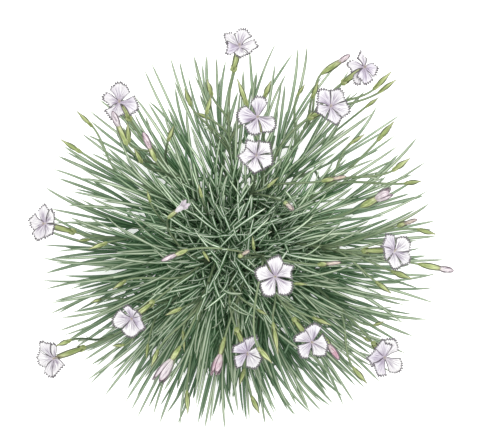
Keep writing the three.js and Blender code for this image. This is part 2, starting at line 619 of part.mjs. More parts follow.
for (const b of BUDS) {
  if (!b.stem) continue;
  const axis = at(b.tip).sub(at(b.base)).normalize();
  add(b.stem.node, budOn([at(b.base).addScaledVector(axis, -1), at(b.base)], b));
}
const branches = [];
for (const b of BUDS) {
  if (b.stem) continue;
  const base = at(b.base);
  const axis = at(b.tip).sub(base).normalize();
  let best = null;
  for (const s of stems)
    for (let t = 0.14; t < 0.9; t += 0.04) {
      const curve = new THREE.CubicBezierCurve3(...s.curve);
      const p = curve.getPoint(t);
      const along = curve.getTangent(t);
      const span = base.distanceTo(p);
      if (span < 8) continue;
      const rise = base.z - p.z;
      const route = [
        p,
        p.clone().addScaledVector(along, span * 0.35),
        base.clone().addScaledVector(axis, -span * 0.36),
        base.clone(),
      ];
      const path = cubic(...route, 3);
      const radial = base.clone().sub(p).normalize().dot(along);
      const straight = base.clone().sub(p).normalize().dot(axis);
      let cost = span * (1.35 - 0.4 * radial) + (rise < 4 ? 30 + 3 * (4 - rise) : 0);
      cost += 90 * Math.max(0, 0.97 - straight) + 70 * Math.max(0, 0.9 - radial); // a straight way is worth a detour
      if (best && cost >= best.cost) continue;
      if (air(s.node, path, BRANCH_RADIUS[0]) < CLEAR) continue;
      if (air(s.node, [base, at(b.tip)], BUD_WIDTH[b.kind], 0.4) < 0.4) cost += 1000;
      if (!best || cost < best.cost) best = { s, t, path, route, cost };
    }
  if (!best) {
    console.warn("no way to bud", b.id);
    continue;
  }
  b.stem = best.s;
  branches.push({ bud: b, ...best });
  if (best.cost > 90) console.warn("bud", b.id, best.s.node, best.cost.toFixed(0));
  add(best.s.node, budOn(best.path, b));
  claim(best.s.node, best.path, BRANCH_RADIUS[0]);
  claim(best.s.node, [base, at(b.tip)], BUD_WIDTH[b.kind]);
}
for (const s of stems) add(s.node, rod(s.path, STEM_RADIUS[0], STEM_RADIUS[1], 5), COLOURS.stem);
for (const s of stems) {
  const least = air(s.node, s.path, STEM_RADIUS[0], -1e9, null, s.node.replace("flower_stem", "calyx"));
  if (least < GAP) console.warn(s.node, "is close to a neighbour", least.toFixed(2));
}

// ---------------------------------------------------------------- leafy shoots
const roll = random(SEED);
const range = (a, b) => a + (b - a) * roll();
const rosettes = [];
const shoots = [];

for (let k = 0; k < TUFTS; k++) {
  const node = `leaf_tuft_${pad(k + 1)}`;
  const phi = rad(15 + (360 / TUFTS) * k);
  const ray = (r, z, turn = 0) => V(r * Math.cos(phi + turn), r * Math.sin(phi + turn), z);
  let main = null;
  for (let tries = 0; tries < 60 && !main; tries++) {
    const bend = range(-0.1, 0.1);
    const path = cubic(
      ray(TUFT_ROOT_RADIUS, TUFT_ROOT_HEIGHT),
      ray(28, 13 + range(-1, 2)),
      ray(46, 21 + range(-2, 2), bend),
      ray(ROSETTE_REACH - 3, 13 + range(-2, 2), bend * 0.6),
      4,
    );
    if (air(node, path, SHOOT_RADIUS[0]) >= CLEAR) main = path;
  }
  if (!main) throw new Error(`no way for ${node}`);
  add(node, rod(main, SHOOT_RADIUS[0], SHOOT_RADIUS[1], 5), COLOURS.leaf[k % 3]);
  claim(node, main, SHOOT_RADIUS[0]);
  shoots.push({ node, phi, main });
}

claim("woody_crown", [V(0, 0, 2), V(0, 0, 9)], 12.2);

for (const [k, shoot] of shoots.entries()) {
  const { node, phi, main } = shoot;
  for (const [j, reach] of ROSETTE_STEPS[k % 2].entries()) {
    for (let tries = 0; tries < 120; tries++) {
      const r = reach + range(-4, 4);
      const turn = range(-0.2, 0.2) * (r < 20 ? 1.4 : 1);
      const s = Math.min(r / (ROSETTE_REACH + 2), 0.999);
      const polar = Math.asin(s);
      const centre = V(
        r * Math.cos(phi + turn),
        r * Math.sin(phi + turn),
        ROSETTE_BASE + ROSETTE_RISE * Math.cos(polar) + range(-3, 3) - (j === 5 ? 4 : 0),
      );
      const lean = polar * 0.93 + range(-0.1, 0.1);
      const yaw = phi + turn + range(-0.25, 0.25) * Math.min(1, r / 30) + (r < 20 ? range(-0.7, 0.7) : 0);
      const axis = V(Math.sin(lean) * Math.cos(yaw), Math.sin(lean) * Math.sin(yaw), Math.cos(lean));
      // the twig leaves the shoot below its rosette
      const share = Math.min(Math.max((r * 0.72 - TUFT_ROOT_RADIUS) / (ROSETTE_REACH - TUFT_ROOT_RADIUS), 0.12), 0.97);
      const q = share * (main.length - 1);
      const i = Math.min(Math.floor(q), main.length - 2);
      const from = main[i].clone().lerp(main[i + 1], q - i);
      const span = centre.distanceTo(from);
      const twig = cubic(
        from,
        from.clone().add(V(0, 0, span * 0.4)),
        centre.clone().addScaledVector(axis, -span * 0.35),
        centre.clone(),
        3,
      );
      if (air(node, twig, TWIG_RADIUS + 0.4) < CLEAR) continue;
      claim(node, twig, TWIG_RADIUS + 0.3, `rosette ${rosettes.length}`);
      rosettes.push({ part: `rosette ${rosettes.length}`, node, centre, axis, r, phi, twig, low: j === 5 });
      break;
    }
  }
}

function leafPath(foot, direction, length, droop) {
  const path = [];
  for (const t of LEAF_STATIONS) {
    const p = foot.clone().addScaledVector(direction, length * t);
    p.z -= droop * length * t * t;
    if (p.z < LEAF_FLOOR + LEAF_KEEL) p.z = t === 1 ? LEAF_FLOOR : LEAF_FLOOR + LEAF_KEEL;
    path.push(p);
  }
  return path;
}

// Leaves of one rosette, each clear of everything else; a side of the twig that finds no room stays bare.
function growLeaves(rosette) {
  const { node, part, centre, axis, start } = rosette;
  const side = V(0, 0, 0).crossVectors(axis, V(0.2, 0.1, 1)).normalize();
  const lift = V(0, 0, 0).crossVectors(axis, side);
  rosette.side = side;
  rosette.lift = lift;
  rosette.leaves = Array.from({ length: LEAVES_PER_ROSETTE }, (_, k) => {
    const middle = start + (2 * Math.PI * (k + 0.5)) / LEAVES_PER_ROSETTE;
    for (let tries = 0; tries < 70; tries++) {
      const around = middle + range(-0.6, 0.6);
      const spread = rad(range(10, rosette.r < 25 ? 38 : 30));
      const direction = axis
        .clone()
        .multiplyScalar(Math.cos(spread))
        .addScaledVector(side, Math.sin(spread) * Math.cos(around))
        .addScaledVector(lift, Math.sin(spread) * Math.sin(around))
        .normalize();
      const length = range(...LEAF_LENGTH) * (tries > 45 ? 0.75 : 1);
      const level = Math.hypot(direction.x, direction.y);
      const foot = centre
        .clone()
        .addScaledVector(side, 0.6 * Math.cos(middle))
        .addScaledVector(lift, 0.6 * Math.sin(middle));
      const path = leafPath(foot, direction, length, range(0.05, 0.22) * level + (rosette.low ? 0.1 : 0));
      const tip = path[path.length - 1];
      if (Math.hypot(tip.x / PLAN_HALF[0], tip.y / PLAN_HALF[1]) > 1) continue;
      if (air(node, path, LEAF_WIDTH / 2, CLEAR, part) < CLEAR) continue;
      claim(node, path, LEAF_WIDTH / 2, part);
      return path;
    }
    return null;
  });
  return rosette.leaves.filter(Boolean).length;
}

// A three-sided twig that ends in a short hub, with a leaf drawn out of each side of the hub. The
// leaf's section is a trapezium: flat above, narrow at its keel.
function rosetteBody(rosette) {
  const { twig, centre, axis, side, lift, start, leaves: paths } = rosette;
  const n = LEAVES_PER_ROSETTE;
  const points = [];
  const faces = [];
  const put = (p) => points.push(p) - 1;
  const ring = (c, radius, u, v) =>
    Array.from({ length: n }, (_, k) => {
      const a = start + (2 * Math.PI * k) / n;
      return put(c.clone().addScaledVector(u, radius * Math.cos(a)).addScaledVector(v, radius * Math.sin(a)));
    });
  const rings = [];
  let u = side.clone();
  for (let i = twig.length - 2; i >= 0; i--) {
    const t = V(0, 0, 0)
      .subVectors(twig[i + 1], twig[Math.max(i - 1, 0)])
      .normalize();
    u = u.clone().addScaledVector(t, -u.dot(t)).normalize();
    rings.unshift(ring(twig[i], TWIG_RADIUS, u, V(0, 0, 0).crossVectors(t, u)));
  }
  rings.push(ring(centre.clone().addScaledVector(axis, -0.9), TWIG_RADIUS * 1.25, side, lift));
  rings.push(ring(centre.clone().addScaledVector(axis, 0.9), TWIG_RADIUS * 1.1, side, lift));
  for (let q = 0; q + 2 < rings.length; q++)
    for (let k = 0; k < n; k++) {
      const j = (k + 1) % n;
      const [a, b] = [rings[q], rings[q + 1]];
      faces.push([a[k], a[j], b[j]], [a[k], b[j], b[k]]);
    }
  for (let k = 1; k + 1 < n; k++) {
    faces.push([rings[0][0], rings[0][k + 1], rings[0][k]]);
    faces.push([rings.at(-1)[0], rings.at(-1)[k], rings.at(-1)[k + 1]]);
  }
  for (let k = 0; k < n; k++) {
    const j = (k + 1) % n;
    const [low, high] = rings.slice(-2);
    let before = [low[k], low[j], high[j], high[k]];
    const path = paths[k];
    if (!path) {
      faces.push([before[0], before[1], before[2]], [before[0], before[2], before[3]]);
      continue;
    }
    for (let i = 1; i < path.length; i++) {
      if (i === path.length - 1) {
        const tip = put(path[i].clone());
        for (let c = 0; c < 4; c++) faces.push([before[c], before[(c + 1) % 4], tip]);
        break;
      }
      const t = V(0, 0, 0)
        .subVectors(path[i + 1], path[i - 1])
        .normalize();
      const wide = V(0, 0, 0).crossVectors(axis, t).normalize(); // towards the next side of the hub
      const up = V(0, 0, 0).crossVectors(t, wide);
      const w = (LEAF_WIDTH / 2) * LEAF_SHAPE[i];
      const spot = (x, y) => put(path[i].clone().addScaledVector(wide, x).addScaledVector(up, y));
      const here = [spot(-w * 0.3, -LEAF_KEEL), spot(w * 0.3, -LEAF_KEEL), spot(w, 0), spot(-w, 0)];
      for (let c = 0; c < 4; c++) {
        const d = (c + 1) % 4;
        faces.push([before[c], before[d], here[d]], [before[c], here[d], here[c]]);
      }
      before = here;
    }
  }
  return closed(points, faces);
}

let leaves = 0;
for (const rosette of rosettes) rosette.start = range(0, 2 * Math.PI);
for (const rosette of rosettes.slice().sort((a, b) => b.r - a.r)) {
  leaves += growLeaves(rosette);
  add(rosette.node, rosetteBody(rosette));
}

// ---------------------------------------------------------------- the crown, with a socket for each shoot and stem
let crown = solid(turned(CROWN_PROFILE, CROWN_SIDES, V(0, 0, 0), V(0, 0, 1)));
for (const s of [...stems.map((x) => [x.path, STEM_RADIUS[0]]), ...shoots.map((x) => [x.main, SHOOT_RADIUS[0]])]) {
  const [path, radius] = s;
  const a = path[0];
  const d = path[1].clone().sub(a).normalize();
  const far = a.clone().addScaledVector(d, Math.min(11, path[1].distanceTo(a)));
  crown = crown.subtract(
    solid(rod([a.clone().addScaledVector(d, -GAP), far], radius + GAP * 1.3, radius + GAP * 1.3, 6, 0.1)),
  );
}

// ---------------------------------------------------------------- the plant
const plant = new THREE.Group();
function mesh(name, geometry, colour, roughness) {
  const m = new THREE.Mesh(geometry, new THREE.MeshStandardMaterial({ color: colour, roughness, metalness: 0 }));
  m.name = name;
  plant.add(m);
}
mesh("woody_crown", geometryOf(crown, "woody_crown"), COLOURS.crown, 0.9);
for (const [node, list] of pieces) {
  const roughness = node.startsWith("petals") ? 0.6 : node.startsWith("leaf") ? 0.62 : 0.55;
  mesh(node, geometryOf(join(list), node), colours.get(node), roughness);
}

export const skeleton = { stems, branches, shoots, rosettes, leaves };
export default plant;
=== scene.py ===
"""A garden pink in flower: narrow waxy leaves in rosettes on twelve shoots, thin forked stems with
buds, and fourteen fringed flowers. All sizes in the tables are millimetres, in the CAD model's frame."""
import math

import bpy
import numpy as np
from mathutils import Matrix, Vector


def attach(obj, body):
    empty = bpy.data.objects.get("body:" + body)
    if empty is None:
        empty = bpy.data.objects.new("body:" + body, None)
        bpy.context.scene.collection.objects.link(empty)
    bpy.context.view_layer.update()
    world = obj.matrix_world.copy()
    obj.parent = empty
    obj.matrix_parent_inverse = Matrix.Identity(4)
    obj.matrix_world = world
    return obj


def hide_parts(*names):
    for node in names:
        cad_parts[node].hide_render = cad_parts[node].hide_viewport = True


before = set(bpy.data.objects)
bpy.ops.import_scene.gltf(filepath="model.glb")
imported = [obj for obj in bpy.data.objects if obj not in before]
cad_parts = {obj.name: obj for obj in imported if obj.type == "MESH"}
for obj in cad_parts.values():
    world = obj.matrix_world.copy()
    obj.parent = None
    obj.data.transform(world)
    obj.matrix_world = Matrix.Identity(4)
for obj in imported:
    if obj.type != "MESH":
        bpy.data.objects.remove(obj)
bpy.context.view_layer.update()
MM = 0.001

# ---- tables
# Flowers: throat, foot of the calyx, reach of the petals, azimuth and tilt of the face, petals' azimuths and relative lengths.
FLOWERS = [
    ((-77.7, 82.3, 92), (-71.3, 70.5, 81.3), 13.2, 119, 25, ((85, 1), (162, 0.92), (228, 0.95), (272, 0.85), (341, 1))),
    ((-126.3, 5.3, 76), (-107.3, 0, 61.8), 13, 165, 42, ((95, 1), (166, 1), (238, 1), (292, 0.95), (38, 0.95))),
    ((-2.4, 117.2, 96), (-6.4, 101.3, 84.3), 12.6, 90, 40, ((136, 1), (80, 1), (20, 1), (208, 0.95), (318, 0.9))),
    ((8.8, 71, 124), (11.7, 63.1, 108.9), 13.4, 80, 16, ((88, 1), (167, 1), (236, 0.95), (312, 0.95), (350, 0.95))),
    ((7.9, 47.4, 136), (7.6, 39.9, 120.3), 12, 85, 6, ((43, 1), (330, 1), (261, 1), (181, 1), (113, 1))),
    ((54.5, 79, 104), (41, 71.6, 93), 12.6, 30, 20, ((57, 1), (345, 1), (280, 1), (205, 0.92), (130, 1))),
    ((76.4, 104.3, 86), (62.5, 94.5, 73.7), 11.8, 36, 36, ((104, 1), (172, 1), (352, 1), (278, 1), (232, 0.95))),
    ((-69.6, -53.7, 98), (-56.3, -43.4, 85.9), 13, 218, 24, ((105, 0.95), (150, 1), (195, 1), (262, 1), (335, 1))),
    ((-120.1, -80.1, 68), (-101.6, -74, 53.9), 13.2, 200, 44, ((84, 1), (140, 1), (190, 1), (240, 1), (290, 1))),
    ((2.5, -75.3, 104), (-4.5, -60, 92), 12.6, 292, 22, ((50, 1), (152, 1), (240, 1), (308, 1), (12, 0.95))),
    ((19.3, -26.5, 142), (16.4, -21.7, 125.5), 13.8, 300, 5, ((87, 1), (20, 1), (308, 1), (238, 1), (166, 1))),
    ((42.6, -68.1, 106), (31.3, -53.7, 92.9), 12.2, 308, 22, ((68, 1), (165, 1), (245, 1), (315, 1), (10, 0.95))),
    ((95, -11.1, 94), (75.3, -11.6, 79.8), 12.4, 0, 36, ((122, 1), (42, 1), (321, 1), (257, 1), (190, 0.95))),
    ((89.3, -78.9, 84), (82.4, -70.1, 71.1), 13.2, 315, 20, ((112, 1), (58, 0.98), (335, 1), (252, 1), (186, 1))),
]
# Buds: number, kind (g closed, s small, p rolled petals, h half open), foot, tip, where the calyx ends.
BUDS = [
    (1, "p", (-72.6, 54.1, 100), (-81.3, 75.3, 108.2), 0.61),
    (2, "g", (-72.4, 56.6, 80), (-72.9, 69.3, 87.7), 0.5),
    (3, "p", (-54.8, 44.7, 90.4), (-62.7, 62.9, 97.5), 0.48),
    (4, "g", (-63.8, 43.8, 86.6), (-68.4, 52.9, 97.3), 0.5),
    (5, "g", (-96.4, 67.6, 59.2), (-106.9, 78, 64.4), 0.5),
    (6, "g", (-103.3, 50.9, 61.1), (-117, 59.6, 66.9), 0.5),
    (7, "g", (-33, 80, 81.1), (-36.9, 90.9, 90.2), 0.5),
    (8, "g", (-19.7, 86.4, 79.8), (-23, 96.6, 89.8), 0.5),
    (9, "g", (-23.4, 74.1, 86.5), (-19.9, 86.6, 93.5), 0.5),
    (10, "s", (-21.2, 72.4, 67.8), (-30, 76.3, 72.3), 0.5),
    (11, "g", (-47.4, 57.6, 88.3), (-43.3, 67, 99.1), 0.5),
    (12, "s", (-58.9, 18.7, 75), (-60.9, 26.9, 78.9), 0.5),
    (13, "s", (-26, 21.8, 85.5), (-28.1, 30.5, 89.6), 0.5),
    (14, "h", (-47, 9.1, 101.5), (-35.3, 18, 118.1), 0.49),
    (15, "g", (2.7, 79.5, 85.4), (-3.9, 97.1, 92.1), 0.5),
    (16, "g", (13.2, 85.1, 81.4), (17.5, 95.6, 90.7), 0.5),
    (17, "p", (49.9, 101.4, 62.7), (68.1, 113.1, 70.4), 0.66),
    (18, "s", (34.7, 87.7, 55.7), (39.7, 95.2, 59.9), 0.5),
    (19, "g", (43.7, 84.8, 75.3), (47.6, 95.7, 84.3), 0.5),
    (20, "g", (82.7, 90.7, 72), (94.4, 102.4, 77.9), 0.5),
    (21, "g", (86.4, 89.2, 63), (98.2, 97.9, 68.2), 0.5),
    (22, "s", (79.2, 81, 41.4), (88.3, 87.5, 46.6), 0.5),
    (23, "g", (85.4, 58.3, 69.7), (96.1, 70.8, 75.6), 0.5),
    (24, "s", (68, 56.4, 59.8), (77.9, 62.9, 65.3), 0.5),
    (25, "g", (94.9, 39.1, 70.2), (106.3, 47.3, 75.2), 0.5),
    (26, "g", (102.8, 31.2, 66.7), (113.5, 32.6, 76.5), 0.5),
    (27, "s", (15, 28.4, 85.9), (22.5, 34.9, 90.5), 0.5),
    (28, "p", (49.4, 32.3, 96.4), (63.8, 34.9, 109.4), 0.54),
    (29, "p", (26, 18.7, 107.2), (30.6, 14, 125.2), 0.39),
    (30, "h", (73.9, 16.1, 87.5), (92.7, 25.7, 95), 0.54),
    (31, "p", (97.9, 4.1, 73.4), (109.5, 8.2, 88.4), 0.45),
    (32, "g", (111.3, 2.1, 63.8), (123.1, -1.3, 71.8), 0.5),
    (33, "p", (111.8, -20.2, 66), (133.7, -24.5, 74), 0.65),
    (34, "g", (94, -24.5, 73.8), (107, -29.5, 79.1), 0.5),
    (35, "g", (83.9, -31.1, 78.9), (93.5, -38.5, 87.3), 0.5),
    (36, "p", (46.7, -20, 100), (60.5, -18.5, 114), 0.44),
    (37, "s", (32.2, -32.3, 81.6), (40.9, -32.8, 85.6), 0.5),
    (38, "s", (6.8, -11, 89.3), (5.8, -2.2, 93.4), 0.5),
    (39, "p", (-2.6, -14.8, 111.4), (3.8, -10.9, 129.4), 0.48),
    (40, "s", (8.8, -48.8, 80.1), (15.4, -52.1, 84.2), 0.5),
    (41, "g", (18.7, -56.1, 94), (21.9, -76.4, 101.3), 0.5),
    (42, "g", (43.5, -53.4, 91.1), (55.6, -58.2, 98.2), 0.5),
    (43, "p", (51.4, -66.7, 82.2), (60.1, -79.7, 93.9), 0.37),
    (44, "s", (84, -60.3, 49), (90.8, -57.5, 53.1), 0.5),
    (45, "s", (77.8, -68, 49), (83.3, -70.6, 54.7), 0.5),
    (46, "g", (70, -86.2, 63.9), (79.3, -96.7, 68.9), 0.5),
    (47, "g", (9.1, -71.1, 114), (18, -80.6, 121.1), 0.5),
    (48, "g", (5.3, -104.4, 68.6), (10.4, -115.2, 77.2), 0.5),
    (49, "g", (0.8, -86.5, 80), (-2.3, -95.9, 90.8), 0.5),
    (52, "g", (-85.8, -6.4, 81.3), (-97.7, -10.7, 88.9), 0.5),
    (53, "s", (-98.7, -4.7, 52.5), (-107.2, -5.5, 56.4), 0.5),
    (54, "p", (-34.7, -10.8, 105.8), (-50.6, -17.5, 115.5), 0.49),
    (55, "s", (-25.3, -12, 86.8), (-21.1, -18.5, 90.4), 0.5),
    (56, "g", (-74, -30.3, 85), (-82.2, -35.7, 95.8), 0.5),
    (57, "s", (-91.1, -43.1, 51), (-98.2, -45.2, 54.9), 0.5),
    (58, "g", (-38.7, -47.3, 95.2), (-48.7, -51.6, 105.2), 0.5),
    (59, "g", (-108.2, -67.8, 87), (-117.5, -71, 97.7), 0.5),
    (60, "h", (-39.6, -71.7, 83.6), (-53.8, -93.5, 93), 0.42),
    (61, "s", (-61.2, -71.5, 55.7), (-62.3, -81.6, 60.3), 0.5),
    (62, "g", (-54, -74.3, 77.4), (-58.1, -84.8, 86.7), 0.5),
    (63, "s", (-76.4, -72.9, 47.3), (-84.6, -73.3, 51.1), 0.5),
    (64, "s", (-38.4, -62.3, 68.9), (-37.3, -76.3, 75.4), 0.5),
    (65, "g", (-35.9, -100.7, 67), (-35.2, -115.9, 72.4), 0.5),
    (66, "h", (-11.5, -66.1, 81), (-18, -89.8, 90), 0.5),
]
# Stems: node, and the four points of its curve.
STEMS = {
    "flower_stem_11": ((4.82, -6.39, 13.4), (14.09, -18.69, 44.21), (9.7, -10.62, 87.41), (16.58, -22, 126.54)),
    "flower_stem_05": ((1.48, 7.86, 13.4), (4.29, 22.74, 43.68), (6.92, 22.86, 84.64), (7.62, 40.37, 121.29)),
    "flower_stem_10": ((-0.54, -7.98, 13.4), (-1.41, -20.74, 38.97), (-15.75, -35.41, 72.72), (-4.13, -60.81, 92.64)),
    "flower_stem_12": ((1.25, -2.73, 13.4), (6.85, -14.94, 40.27), (13.75, -31.34, 72.56), (31.85, -54.4, 93.54)),
    "flower_stem_04": ((1.38, 2.66, 13.4), (8.47, 16.3, 44.14), (18.43, 44.76, 73.84), (11.52, 63.6, 109.86)),
    "flower_stem_08": ((-6.34, -4.88, 13.4), (-16.66, -12.84, 39.48), (-34.55, -26.56, 66.11), (-57.01, -43.95, 86.54)),
    "flower_stem_13": ((7.91, -1.2, 13.4), (20.68, -3.14, 39.23), (48.09, -12.29, 60.19), (76.19, -11.58, 80.44)),
    "flower_stem_06": ((4.69, 6.48, 13.4), (13.33, 18.45, 42.93), (13.52, 56.54, 70.61), (41.78, 72.03, 93.64)),
    "flower_stem_01": ((-5.67, 5.64, 13.4), (-16.68, 16.57, 44.43), (-56.19, 42.64, 56.04), (-71.71, 71.26, 81.99)),
    "flower_stem_03": ((-1.28, 7.9, 13.4), (-3.82, 23.58, 45.18), (-14.65, 68.51, 60.17), (-6.18, 102.17, 84.94)),
    "flower_stem_02": ((-8, 0.02, 13.4), (-22.96, 0.05, 43.32), (-76.77, -8.51, 38.99), (-108.16, 0.24, 62.44)),
    "flower_stem_14": ((4.9, -2.72, 13.4), (18.84, -10.45, 45.28), (65.56, -48.62, 39.61), (82.84, -70.67, 71.93)),
    "flower_stem_07": ((4.67, 3.09, 13.4), (18.65, 12.32, 46.91), (33.46, 74.02, 48), (63.23, 95.01, 74.34)),
    "flower_stem_09": ((-2.43, -1.76, 13.4), (-9.69, -21.5, 48.34), (-66.38, -62.39, 27.06), (-102.45, -74.28, 54.54)),
    "bud_stem_01": ((-5.02, 2.48, 13.4), (-19.54, 9.65, 45.78), (-69.72, 29.57, 46.88), (-104.25, 51.51, 61.5)),
    "bud_stem_02": ((-5.4, -1.47, 13.4), (-19.15, -5.2, 41.88), (-20.6, -42.54, 71.02), (-40.22, -72.65, 84.01)),
    "bud_stem_03": ((0.7, -5.56, 13.4), (10.54, -16.84, 38.26), (-3.52, -36.99, 69.95), (-11.8, -67.19, 81.41)),
    "bud_stem_04": ((7.64, 2.38, 13.4), (22.02, 6.85, 43.52), (61.4, 30.26, 56.46), (86.13, 59.16, 70.11)),
    "bud_stem_05": ((3, 0.05, 13.4), (17.07, 0.31, 41.54), (43.23, 0.44, 75.26), (74.91, 16.61, 87.9)),
}
# The buds that end a stem of their own.
LEADING = {6: "bud_stem_01", 60: "bud_stem_02", 66: "bud_stem_03", 23: "bud_stem_04", 30: "bud_stem_05"}
